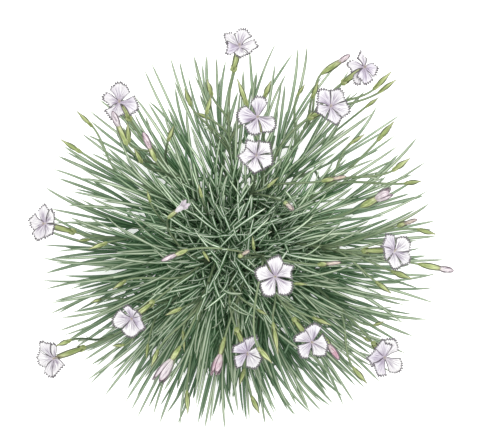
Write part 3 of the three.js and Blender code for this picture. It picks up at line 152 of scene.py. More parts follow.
# Side branches: bud, stem, place along the stem, and the four points of the branch's curve.
BRANCHES = [
    (1, "flower_stem_01", 0.58, ((-43.35, 37.48, 54.38), (-56.13, 49.22, 63.99), (-65.31, 36.33, 93.12), (-72.6, 54.1, 100))),
    (2, "flower_stem_01", 0.74, ((-55.66, 49.67, 64.06), (-60.63, 55.05, 68.28), (-72.11, 49.18, 75.5), (-72.4, 56.6, 80))),
    (3, "flower_stem_01", 0.46, ((-33.85, 29.11, 47.18), (-45.44, 38.96, 56.19), (-47.98, 29, 84.27), (-54.8, 44.7, 90.4))),
    (4, "flower_stem_01", 0.54, ((-40.17, 34.61, 51.99), (-49.95, 43.32, 59.34), (-58.99, 34.29, 75.42), (-63.8, 43.8, 86.6))),
    (5, "bud_stem_01", 0.78, ((-79.73, 37.44, 53.34), (-90.24, 42.98, 56.27), (-87.97, 59.25, 55.02), (-96.4, 67.6, 59.2))),
    (7, "flower_stem_03", 0.54, ((-8.3, 52.51, 54.38), (-9.63, 66.13, 62.6), (-28.65, 67.85, 70.95), (-33, 80, 81.1))),
    (8, "flower_stem_03", 0.7, ((-9.34, 69.93, 64.57), (-9.46, 77.41, 68.9), (-17.7, 80.21, 73.73), (-19.7, 86.4, 79.8))),
    (9, "flower_stem_03", 0.5, ((-7.86, 48.29, 51.8), (-9.39, 61.89, 60.25), (-27.33, 60.08, 78.65), (-23.4, 74.1, 86.5))),
    (10, "flower_stem_03", 0.62, ((-8.99, 61.14, 59.48), (-9.33, 66.75, 62.75), (-15.66, 69.95, 64.97), (-21.2, 72.4, 67.8))),
    (11, "flower_stem_01", 0.62, ((-46.51, 40.43, 56.76), (-54.49, 48.01, 62.84), (-50.96, 49.44, 78.92), (-47.4, 57.6, 88.3))),
    (12, "flower_stem_02", 0.3, ((-30.3, -1.57, 32.76), (-47.73, -3.06, 40.71), (-54.65, 1.27, 66.71), (-58.9, 18.7, 75))),
    (13, "bud_stem_01", 0.14, ((-13.07, 6.21, 25.28), (-27.77, 12.8, 40.61), (-21.12, 1.59, 75.97), (-26, 21.8, 85.5))),
    (14, "flower_stem_08", 0.42, ((-23.13, -17.8, 46.05), (-34.61, -26.64, 64.08), (-59.55, -0.45, 83.69), (-47, 9.1, 101.5))),
    (15, "flower_stem_04", 0.62, ((13.17, 39.3, 71.13), (14.36, 48.09, 83.68), (7.93, 65.55, 80.09), (2.7, 79.5, 85.4))),
    (16, "flower_stem_03", 0.58, ((-8.68, 56.8, 56.94), (-9.72, 69.83, 64.63), (8.63, 73.93, 71.51), (13.2, 85.1, 81.4))),
    (17, "flower_stem_07", 0.74, ((42.79, 72.02, 57.9), (48.15, 80.39, 61.9), (41.17, 95.79, 59.01), (49.9, 101.4, 62.7))),
    (18, "flower_stem_07", 0.58, ((32.59, 53.92, 50.24), (37.72, 64.01, 54.23), (28.5, 78.39, 50.49), (34.7, 87.7, 55.7))),
    (19, "flower_stem_07", 0.7, ((40.09, 67.65, 55.9), (44.47, 75, 59.15), (41.2, 77.8, 69.52), (43.7, 84.8, 75.3))),
    (20, "flower_stem_07", 0.78, ((45.6, 76.24, 60.01), (53.22, 87.22, 65.76), (72.73, 80.73, 66.97), (82.7, 90.7, 72))),
    (21, "flower_stem_07", 0.74, ((42.79, 72.02, 57.9), (51.04, 84.92, 64.06), (73.53, 79.71, 57.33), (86.4, 89.2, 63))),
    (22, "flower_stem_07", 0.3, ((17.86, 23.05, 36.36), (29.28, 46.5, 50.32), (56.74, 64.96, 28.57), (79.2, 81, 41.4))),
    (24, "bud_stem_04", 0.62, ((53.77, 29.33, 53.88), (61.8, 35.4, 58.06), (59.5, 50.82, 55.08), (68, 56.4, 59.8))),
    (25, "bud_stem_04", 0.66, ((57.38, 32.11, 55.73), (67.83, 40.3, 61.01), (83.66, 31.02, 65.27), (94.9, 39.1, 70.2))),
    (26, "bud_stem_04", 0.62, ((53.77, 29.33, 53.88), (66.84, 39.22, 60.68), (89.4, 29.45, 54.43), (102.8, 31.2, 66.7))),
    (27, "flower_stem_05", 0.58, ((5.85, 25.13, 73.94), (6.13, 26.33, 79.19), (11.2, 25.1, 83.57), (15, 28.4, 85.9))),
    (28, "flower_stem_04", 0.42, ((10.37, 25.88, 52.13), (13.62, 37.63, 68.95), (33.68, 29.46, 82.2), (49.4, 32.3, 96.4))),
    (29, "flower_stem_05", 0.54, ((5.6, 24.12, 69.44), (6.43, 27.4, 84.2), (22.26, 22.52, 92.57), (26, 18.7, 107.2))),
    (31, "flower_stem_13", 0.7, ((51.46, -10.02, 61.91), (65.04, -11.9, 72.72), (87.16, 0.31, 59.52), (97.9, 4.1, 73.4))),
    (32, "flower_stem_13", 0.62, ((45.22, -9.05, 56.82), (63.15, -12.08, 71.83), (91.77, 7.73, 50.56), (111.3, 2.1, 63.8))),
    (33, "flower_stem_13", 0.7, ((51.46, -10.02, 61.91), (68.15, -12.33, 75.2), (91.41, -16.2, 58.55), (111.8, -20.2, 66))),
    (34, "flower_stem_13", 0.82, ((61.16, -11.1, 69.41), (71.13, -11.93, 76.92), (82.78, -20.18, 69.23), (94, -24.5, 73.8))),
    (35, "flower_stem_13", 0.78, ((57.89, -10.8, 66.93), (67.61, -11.8, 74.37), (75.67, -24.76, 71.7), (83.9, -31.1, 78.9))),
    (36, "flower_stem_11", 0.46, ((11.37, -14.31, 62.18), (12.3, -15.24, 80.36), (33.58, -21.43, 86.69), (46.7, -20, 100))),
    (37, "flower_stem_12", 0.62, ((15.53, -30.86, 65.64), (18.1, -35.16, 72), (24.65, -31.87, 78.13), (32.2, -32.3, 81.6))),
    (38, "flower_stem_11", 0.58, ((12.03, -15, 76.3), (12.26, -15.27, 81.39), (7.34, -15.73, 87.1), (6.8, -11, 89.3))),
    (39, "flower_stem_11", 0.58, ((12.03, -15, 76.3), (12.64, -15.7, 89.58), (-7.09, -17.54, 98.76), (-2.6, -14.8, 111.4))),
    (40, "flower_stem_10", 0.58, ((-7.95, -33.83, 61.85), (-8.94, -39.32, 70.31), (0.65, -44.73, 75.04), (8.8, -48.8, 80.1))),
    (41, "flower_stem_12", 0.74, ((19.83, -37.72, 75.18), (23.25, -42.94, 81.96), (17.31, -47.28, 90.83), (18.7, -56.1, 94))),
    (42, "flower_stem_12", 0.86, ((24.88, -45.1, 84.11), (28.12, -49.64, 89.19), (37.17, -50.89, 87.39), (43.5, -53.4, 91.1))),
    (43, "flower_stem_12", 0.66, ((16.88, -33.09, 68.88), (22.75, -42.58, 82.35), (43.39, -54.72, 71.42), (51.4, -66.7, 82.2))),
    (44, "flower_stem_14", 0.54, ((46.36, -34.54, 44.09), (57.91, -44.54, 49.03), (70.66, -65.79, 40.96), (84, -60.3, 49))),
    (45, "flower_stem_14", 0.54, ((46.36, -34.54, 44.09), (57.98, -44.61, 49.07), (66.83, -62.82, 37.63), (77.8, -68, 49))),
    (46, "flower_stem_14", 0.7, ((61.02, -47.73, 51.06), (70.84, -56.94, 56.53), (60.66, -75.65, 58.88), (70, -86.2, 63.9))),
    (47, "flower_stem_11", 0.66, ((12.49, -15.57, 85.86), (13.64, -17.07, 107.6), (-4.37, -56.72, 103.25), (9.1, -71.1, 114))),
    (48, "bud_stem_03", 0.66, ((-2.51, -39.82, 63.77), (-8.51, -55.87, 78.85), (-2.84, -87.17, 54.88), (5.3, -104.4, 68.6))),
    (49, "bud_stem_03", 0.7, ((-3.59, -42.69, 66.36), (-7.96, -54.39, 76.57), (4.31, -75.85, 67.77), (0.8, -86.5, 80))),
    (52, "flower_stem_02", 0.46, ((-47.35, -2.87, 38.99), (-66.48, -4.09, 44.84), (-69.17, -0.39, 70.68), (-85.8, -6.4, 81.3))),
    (53, "flower_stem_02", 0.7, ((-75.51, -3.66, 47.16), (-83.46, -3.52, 49.66), (-90.94, -3.97, 48.94), (-98.7, -4.7, 52.5))),
    (54, "flower_stem_11", 0.46, ((11.37, -14.31, 62.18), (12.5, -15.45, 84.36), (-16.33, -3.06, 94.59), (-34.7, -10.8, 105.8))),
    (55, "bud_stem_02", 0.22, ((-13.01, -8.38, 32.11), (-18.7, -17.96, 48.31), (-35.25, 3.4, 78.27), (-25.3, -12, 86.8))),
    (56, "flower_stem_08", 0.66, ((-35.8, -27.57, 63.82), (-44.4, -34.2, 74.62), (-65.15, -24.47, 73.34), (-74, -30.3, 85))),
    (57, "flower_stem_09", 0.54, ((-46.4, -44.34, 37.35), (-59.77, -53.64, 38.96), (-76.82, -38.88, 43.16), (-91.1, -43.1, 51))),
    (58, "bud_stem_02", 0.62, ((-24.05, -37.43, 63.13), (-27.42, -47.23, 70.66), (-29.78, -43.47, 86.28), (-38.7, -47.3, 95.2))),
    (59, "flower_stem_09", 0.86, ((-86.28, -67.72, 45.58), (-100.27, -74.29, 51.07), (-97.4, -64.09, 74.58), (-108.2, -67.8, 87))),
    (61, "flower_stem_09", 0.58, ((-51.28, -47.67, 37.94), (-60.35, -53.73, 39.06), (-60.09, -61.28, 51.05), (-61.2, -71.5, 55.7))),
    (62, "bud_stem_02", 0.7, ((-26.64, -44.7, 68.41), (-30.88, -56.08, 76.24), (-49.83, -63.62, 67.94), (-54, -74.3, 77.4))),
    (63, "flower_stem_09", 0.66, ((-61.26, -54.07, 39.3), (-68.79, -58.69, 40.45), (-68.09, -72.49, 43.45), (-76.4, -72.9, 47.3))),
    (64, "bud_stem_02", 0.62, ((-24.05, -37.43, 63.13), (-26.75, -45.27, 69.16), (-39.15, -52.76, 64.47), (-38.4, -62.3, 68.9))),
    (65, "bud_stem_02", 0.58, ((-22.86, -33.91, 60.34), (-28.89, -51.87, 74.96), (-36.97, -77.53, 58.77), (-35.9, -100.7, 67))),
]
# Leafy shoots: node and the points of the main shoot.
SHOOTS = {
    "leaf_tuft_01": ((10.24, 2.74, 7.6), (23.11, 5.63, 11.92), (36.56, 8.02, 15.5), (50.65, 10.68, 16.97), (65.45, 14.34, 14.93)),
    "leaf_tuft_02": ((7.5, 7.5, 7.6), (16.8, 16.86, 12.55), (26.38, 26.58, 15.78), (36.45, 36.77, 16.39), (47.2, 47.55, 13.48)),
    "leaf_tuft_03": ((2.74, 10.24, 7.6), (6.76, 22.8, 11.34), (11.58, 35.58, 14.52), (16.49, 49.06, 15.43), (20.77, 63.7, 12.33)),
    "leaf_tuft_04": ((-2.74, 10.24, 7.6), (-6.4, 22.92, 12.1), (-10.45, 35.96, 15.5), (-14.64, 49.66, 15.89), (-18.71, 64.33, 11.36)),
    "leaf_tuft_05": ((-7.5, 7.5, 7.6), (-16.9, 16.75, 12.02), (-26.71, 26.25, 15.28), (-36.99, 36.23, 16.23), (-47.79, 46.96, 13.7)),
    "leaf_tuft_06": ((-10.24, 2.74, 7.6), (-23.07, 5.81, 11.8), (-36.44, 8.59, 15.49), (-50.45, 11.59, 16.76), (-65.22, 15.35, 13.69)),
    "leaf_tuft_07": ((-10.24, -2.74, 7.6), (-23.1, -5.66, 12.03), (-36.54, -8.12, 15.77), (-50.62, -10.83, 16.42), (-65.41, -14.51, 11.57)),
    "leaf_tuft_08": ((-7.5, -7.5, 7.6), (-16.33, -17.28, 12.31), (-24.92, -27.91, 15.72), (-34.07, -38.96, 16.53), (-44.6, -50, 13.39)),
    "leaf_tuft_09": ((-2.74, -10.24, 7.6), (-5.63, -23.11, 12.46), (-8.05, -36.55, 15.91), (-10.71, -50.64, 16.09), (-14.38, -65.44, 11.13)),
    "leaf_tuft_10": ((2.74, -10.24, 7.6), (5.91, -23.05, 11.96), (8.92, -36.37, 15.05), (12.14, -50.33, 16.04), (15.95, -65.07, 14.07)),
    "leaf_tuft_11": ((7.5, -7.5, 7.6), (16.49, -17.15, 11.38), (25.41, -27.49, 14.8), (34.86, -38.27, 16.04), (45.46, -49.22, 13.29)),
    "leaf_tuft_12": ((10.24, -2.74, 7.6), (22.88, -6.52, 12.57), (35.84, -10.83, 16.1), (49.47, -15.25, 16.84), (64.13, -19.39, 13.44)),
}
# Twigs of the shoots: node, the twig's points (the last is the leaf rosette's centre) and the rosette's direction.
TWIGS = [
    ("leaf_tuft_01", ((16.42, 4.13, 9.67), (17.16, 3.69, 19.63), (19.23, 3.02, 28.21), (22.35, 3.12, 36.76)), (0.37, 0.08, 0.93)),
    ("leaf_tuft_01", ((24.84, 5.94, 12.38), (27, 6.26, 21.55), (31.93, 6.86, 28.84), (37.32, 7.15, 36.22)), (0.52, -0, 0.86)),
    ("leaf_tuft_01", ((35.77, 7.88, 15.29), (37.99, 11.1, 22.83), (43.31, 17.67, 27), (49.73, 22.94, 31.49)), (0.69, 0.34, 0.64)),
    ("leaf_tuft_01", ((43.89, 9.41, 16.27), (47.68, 11.24, 20.98), (55.96, 15.09, 20.89), (64.1, 18.49, 22.18)), (0.81, 0.29, 0.5)),
    ("leaf_tuft_01", ((48.83, 10.34, 16.78), (53.25, 10.18, 19.22), (63, 10.54, 13.24), (72.85, 12.67, 9.26)), (0.92, 0.39, 0.06)),
    ("leaf_tuft_02", ((14.94, 14.99, 11.56), (16.61, 15.71, 20.65), (20.31, 17.5, 28.11), (24.13, 19.82, 35.71)), (0.35, 0.26, 0.9)),
    ("leaf_tuft_02", ((22.8, 22.95, 14.57), (23.89, 26.08, 20.91), (26.62, 32.48, 24.63), (30.16, 37.68, 29.12)), (0.48, 0.4, 0.78)),
    ("leaf_tuft_02", ((28.3, 28.52, 15.89), (31.07, 31.03, 22.16), (37.02, 36.55, 24.99), (42.62, 42.09, 28.56)), (0.52, 0.56, 0.65)),
    ("leaf_tuft_02", ((32.63, 32.91, 16.16), (34.25, 37.05, 20.81), (37.86, 46.06, 20.06), (41.54, 54.81, 20.76)), (0.37, 0.82, 0.44)),
    ("leaf_tuft_02", ((34.78, 35.09, 16.29), (38.83, 36.95, 19.19), (47.86, 41.16, 14.04), (57.24, 45.6, 10.54)), (0.9, 0.43, 0.06)),
    ("leaf_tuft_03", ((4.67, 16.27, 9.39), (4.11, 17.62, 20.34), (3.04, 20.57, 29.69), (2.44, 23.46, 39.44)), (-0.01, 0.21, 0.98)),
    ("leaf_tuft_03", ((7.05, 23.56, 11.53), (6.51, 25.79, 20.23), (5.6, 30.82, 27.03), (5.32, 36.18, 33.99)), (0.04, 0.52, 0.85)),
    ("leaf_tuft_03", ((11.65, 35.77, 14.54), (14.03, 38.67, 20.95), (18.73, 45.11, 24.14), (22.13, 51.72, 28.2)), (0.19, 0.68, 0.71)),
    ("leaf_tuft_03", ((14.03, 42.3, 14.97), (16.3, 45.8, 19.43), (20.96, 53.54, 18.98), (24.8, 61.44, 19.82)), (0.3, 0.84, 0.45)),
    ("leaf_tuft_03", ((14.3, 43.05, 15.02), (17, 46.37, 19.17), (22.68, 53.78, 17.84), (27.7, 61.45, 17.94)), (0.44, 0.81, 0.39)),
    ("leaf_tuft_04", ((-4.5, 16.33, 9.76), (-5.46, 15.22, 19.99), (-7.19, 13.61, 28.88), (-7.94, 14.09, 37.96)), (0.03, 0.24, 0.97)),
    ("leaf_tuft_04", ((-5.89, 21.16, 11.47), (-5.48, 23.31, 20.1), (-4.78, 27.9, 27.04), (-4.62, 32.16, 34.42)), (-0.04, 0.35, 0.93)),
    ("leaf_tuft_04", ((-7.82, 27.5, 13.29), (-9.99, 29.31, 22.33), (-14.54, 33.54, 29.12), (-18.52, 38.35, 36.2)), (-0.28, 0.47, 0.84)),
    ("leaf_tuft_04", ((-11.6, 39.71, 15.61), (-14.13, 42.8, 21.59), (-19.64, 49.58, 23.6), (-24.98, 56.32, 26.36)), (-0.5, 0.65, 0.56)),
    ("leaf_tuft_04", ((-12.39, 42.31, 15.68), (-12.93, 46.43, 19.95), (-14.53, 55.2, 19.41), (-17.18, 63.24, 20.38)), (-0.41, 0.76, 0.5)),
    ("leaf_tuft_04", ((-12.95, 44.13, 15.73), (-13.04, 48.35, 18.99), (-13.54, 57.58, 16.05), (-14.76, 66.66, 15)), (-0.21, 0.92, 0.33)),
    ("leaf_tuft_05", ((-12.01, 11.94, 9.72), (-11.78, 13.11, 19.78), (-11.59, 15.66, 28.42), (-12.2, 18.2, 37.33)), (-0.13, 0.21, 0.97)),
    ("leaf_tuft_05", ((-18.69, 18.49, 12.61), (-21.35, 18.92, 21.71), (-26.93, 20.28, 28.76), (-31.89, 22.64, 36.19)), (-0.36, 0.3, 0.88)),
    ("leaf_tuft_05", ((-24.79, 24.39, 14.64), (-27.31, 26.55, 20.83), (-32.83, 31.08, 24.19), (-38.28, 35.11, 28.29)), (-0.57, 0.36, 0.73)),
    ("leaf_tuft_05", ((-28.49, 27.98, 15.44), (-29.15, 32.14, 21.75), (-31, 40.98, 24.13), (-33.82, 49.01, 27.56)), (-0.37, 0.67, 0.65)),
    ("leaf_tuft_05", ((-32.01, 31.39, 15.77), (-35.16, 34.16, 19.12), (-42.07, 40, 16.91), (-48.89, 45.22, 17)), (-0.72, 0.48, 0.5)),
    ("leaf_tuft_06", ((-16.4, 4.21, 9.62), (-15.12, 3.24, 19.19), (-13.18, 1.3, 27.45), (-13.42, -0.14, 35.92)), (-0.24, -0.08, 0.97)),
    ("leaf_tuft_06", ((-22.27, 5.62, 11.54), (-23.91, 6.42, 20.75), (-27.85, 8.14, 28.23), (-32.65, 9.71, 35.63)), (-0.51, 0.12, 0.85)),
    ("leaf_tuft_06", ((-32.12, 7.69, 14.29), (-34.95, 8.92, 21.67), (-41.25, 11.22, 26.55), (-47.69, 12.5, 31.8)), (-0.65, 0.01, 0.76)),
    ("leaf_tuft_06", ((-35.49, 8.39, 15.23), (-38.39, 10.72, 21.08), (-44.65, 15.68, 23.54), (-50.62, 20.2, 27.05)), (-0.58, 0.41, 0.7)),
    ("leaf_tuft_06", ((-45.45, 10.52, 16.3), (-49.73, 10.91, 20.83), (-58.96, 12.17, 20.23), (-67.71, 14.44, 20.94)), (-0.83, 0.35, 0.44)),
    ("leaf_tuft_06", ((-49.09, 11.3, 16.63), (-52.33, 14.99, 19.48), (-60, 22.45, 13.84), (-69.02, 28.28, 10.66)), (-0.92, 0.34, 0.18)),
    ("leaf_tuft_07", ((-16.41, -4.14, 9.73), (-14.34, -3.46, 20.46), (-10.82, -2.22, 29.66), (-9.85, -1.69, 39.28)), (-0.16, -0.02, 0.99)),
    ("leaf_tuft_07", ((-16.41, -4.14, 9.73), (-16.63, -5.21, 18.98), (-17.47, -7.38, 26.95), (-19.17, -9.06, 35.12)), (-0.24, -0.1, 0.96)),
    ("leaf_tuft_07", ((-28.42, -6.63, 13.51), (-30.77, -7.65, 22.53), (-36.17, -9.59, 29.44), (-42.15, -10.74, 36.41)), (-0.58, -0.02, 0.82)),
    ("leaf_tuft_07", ((-32.29, -7.34, 14.59), (-34.95, -9.16, 22.63), (-40.85, -12.83, 28.14), (-46.9, -15.65, 34.18)), (-0.56, -0.17, 0.81)),
    ("leaf_tuft_07", ((-39.63, -8.71, 15.91), (-42.48, -11.62, 22.23), (-48.97, -17.66, 24.57), (-56.01, -22.84, 27.51)), (-0.73, -0.4, 0.55)),
    ("leaf_tuft_07", ((-46.07, -9.96, 16.21), (-50.24, -10.55, 19.08), (-59.47, -11.7, 15.15), (-68.82, -12.44, 13.33)), (-0.96, -0.03, 0.27)),
    ("leaf_tuft_08", ((-14.07, -14.78, 11.1), (-15.5, -15.55, 20.87), (-18.83, -17.44, 29), (-22.6, -19.83, 37.18)), (-0.36, -0.25, 0.9)),
    ("leaf_tuft_08", ((-22, -24.3, 14.56), (-23.7, -26.9, 21.22), (-27.53, -32.43, 25.33), (-31.56, -37.42, 30.04)), (-0.44, -0.46, 0.77)),
    ("leaf_tuft_08", ((-24.82, -27.79, 15.69), (-29.17, -27.75, 22.85), (-38.28, -28.44, 26.32), (-46.25, -31.11, 30.61)), (-0.59, -0.44, 0.68)),
    ("leaf_tuft_08", ((-29.2, -33.08, 16.1), (-32.05, -35.98, 20.31), (-38.08, -42.45, 19.62), (-43.52, -49.11, 20.29)), (-0.51, -0.73, 0.45)),
    ("leaf_tuft_08", ((-33.43, -38.17, 16.47), (-36.52, -41.36, 19.32), (-43.12, -48.68, 14.41), (-49.2, -56.78, 11.47)), (-0.51, -0.85, 0.15)),
    ("leaf_tuft_09", ((-4.46, -17.86, 10.48), (-5.32, -18.93, 20.88), (-7.1, -21.71, 29.69), (-8.57, -25.54, 38.51)), (-0.09, -0.4, 0.91)),
    ("leaf_tuft_09", ((-6.49, -27.87, 13.68), (-8.85, -29.89, 22.1), (-13.58, -34.39, 28.23), (-17.19, -39.03, 35.05)), (-0.2, -0.43, 0.88)),
    ("leaf_tuft_09", ((-7.56, -33.84, 15.22), (-10.74, -36.33, 21.26), (-16.83, -41.85, 24.07), (-20.66, -47.51, 28.26)), (-0.12, -0.59, 0.8)),
    ("leaf_tuft_09", ((-9.3, -43.18, 16), (-9.63, -47.31, 20.12), (-10.69, -56.17, 19.32), (-12.56, -64.46, 20.14)), (-0.3, -0.81, 0.5)),
    ("leaf_tuft_09", ((-10.11, -47.48, 16.05), (-12.74, -51, 18.27), (-18.22, -59.13, 11.87), (-22.95, -68.21, 8.02)), (-0.35, -0.93, 0.13)),
    ("leaf_tuft_10", ((5.85, -22.8, 11.87), (5.68, -25.1, 20.46), (5.63, -29.96, 27.3), (6.38, -34.35, 34.59)), (0.16, -0.35, 0.92)),
    ("leaf_tuft_10", ((7.63, -30.64, 13.72), (10.23, -32.86, 20.68), (15.52, -37.77, 24.96), (19.7, -42.79, 30.1)), (0.29, -0.51, 0.81)),
    ("leaf_tuft_10", ((9.37, -38.31, 15.19), (10.74, -41.56, 22.12), (13.4, -48.94, 25.8), (15.12, -56.87, 29.4)), (0.06, -0.83, 0.55)),
    ("leaf_tuft_10", ((10.53, -43.34, 15.55), (10.42, -47.44, 21.06), (10.14, -56.47, 22.06), (9.7, -65.55, 23.61)), (-0.06, -0.9, 0.43)),
    ("leaf_tuft_10", ((10.87, -44.83, 15.65), (12.91, -48.61, 19.44), (17.41, -56.85, 17.47), (21.97, -64.86, 17.26)), (0.47, -0.79, 0.39)),
    ("leaf_tuft_11", ((11.81, -12.13, 9.41), (11.59, -12.67, 20.27), (11.52, -14.27, 29.71), (12.47, -16.94, 39.13)), (0.17, -0.3, 0.94)),
    ("leaf_tuft_11", ((17.8, -18.67, 11.88), (18.89, -20.61, 21.76), (21.56, -24.89, 29.71), (24.9, -29.2, 37.78)), (0.33, -0.35, 0.87)),
    ("leaf_tuft_11", ((25.53, -27.63, 14.81), (29.29, -28.8, 21.57), (36.93, -31.89, 25.08), (43, -36.24, 29.46)), (0.41, -0.56, 0.72)),
    ("leaf_tuft_11", ((28.57, -31.1, 15.21), (30.13, -34.63, 21.69), (33.68, -42.46, 24.28), (37.55, -50.44, 26.94)), (0.41, -0.78, 0.47)),
    ("leaf_tuft_11", ((30.27, -33.04, 15.44), (34.53, -34.3, 20), (43.77, -37.26, 19.02), (52.73, -40.66, 19.34)), (0.84, -0.38, 0.39)),
    ("leaf_tuft_12", ((16.31, -4.56, 9.99), (15.91, -5.15, 20.75), (15.45, -6.5, 30.14), (16, -8, 39.79)), (0.13, -0.13, 0.98)),
    ("leaf_tuft_12", ((19.44, -5.49, 11.22), (20.76, -6.47, 21.31), (23.9, -8.69, 29.72), (27.59, -11.06, 38.26)), (0.35, -0.21, 0.91)),
    ("leaf_tuft_12", ((27.87, -8.18, 13.93), (30.54, -8.59, 21), (36.3, -9.74, 25.93), (41.73, -11.48, 31.26)), (0.53, -0.25, 0.81)),
    ("leaf_tuft_12", ((39.06, -11.87, 16.28), (42.9, -10.51, 23.2), (51.51, -7.96, 26.18), (60.5, -6.54, 29.32)), (0.86, 0.01, 0.51)),
    ("leaf_tuft_12", ((46.39, -14.25, 16.67), (50.56, -15.33, 19.68), (59.67, -17.99, 15.71), (68.68, -21.4, 13.6)), (0.88, -0.42, 0.21)),
    ("leaf_tuft_12", ((47.38, -14.57, 16.73), (51.69, -15.13, 19.34), (61.36, -16.19, 13.89), (71.47, -16.85, 10.49)), (0.99, -0.02, 0.11)),
]
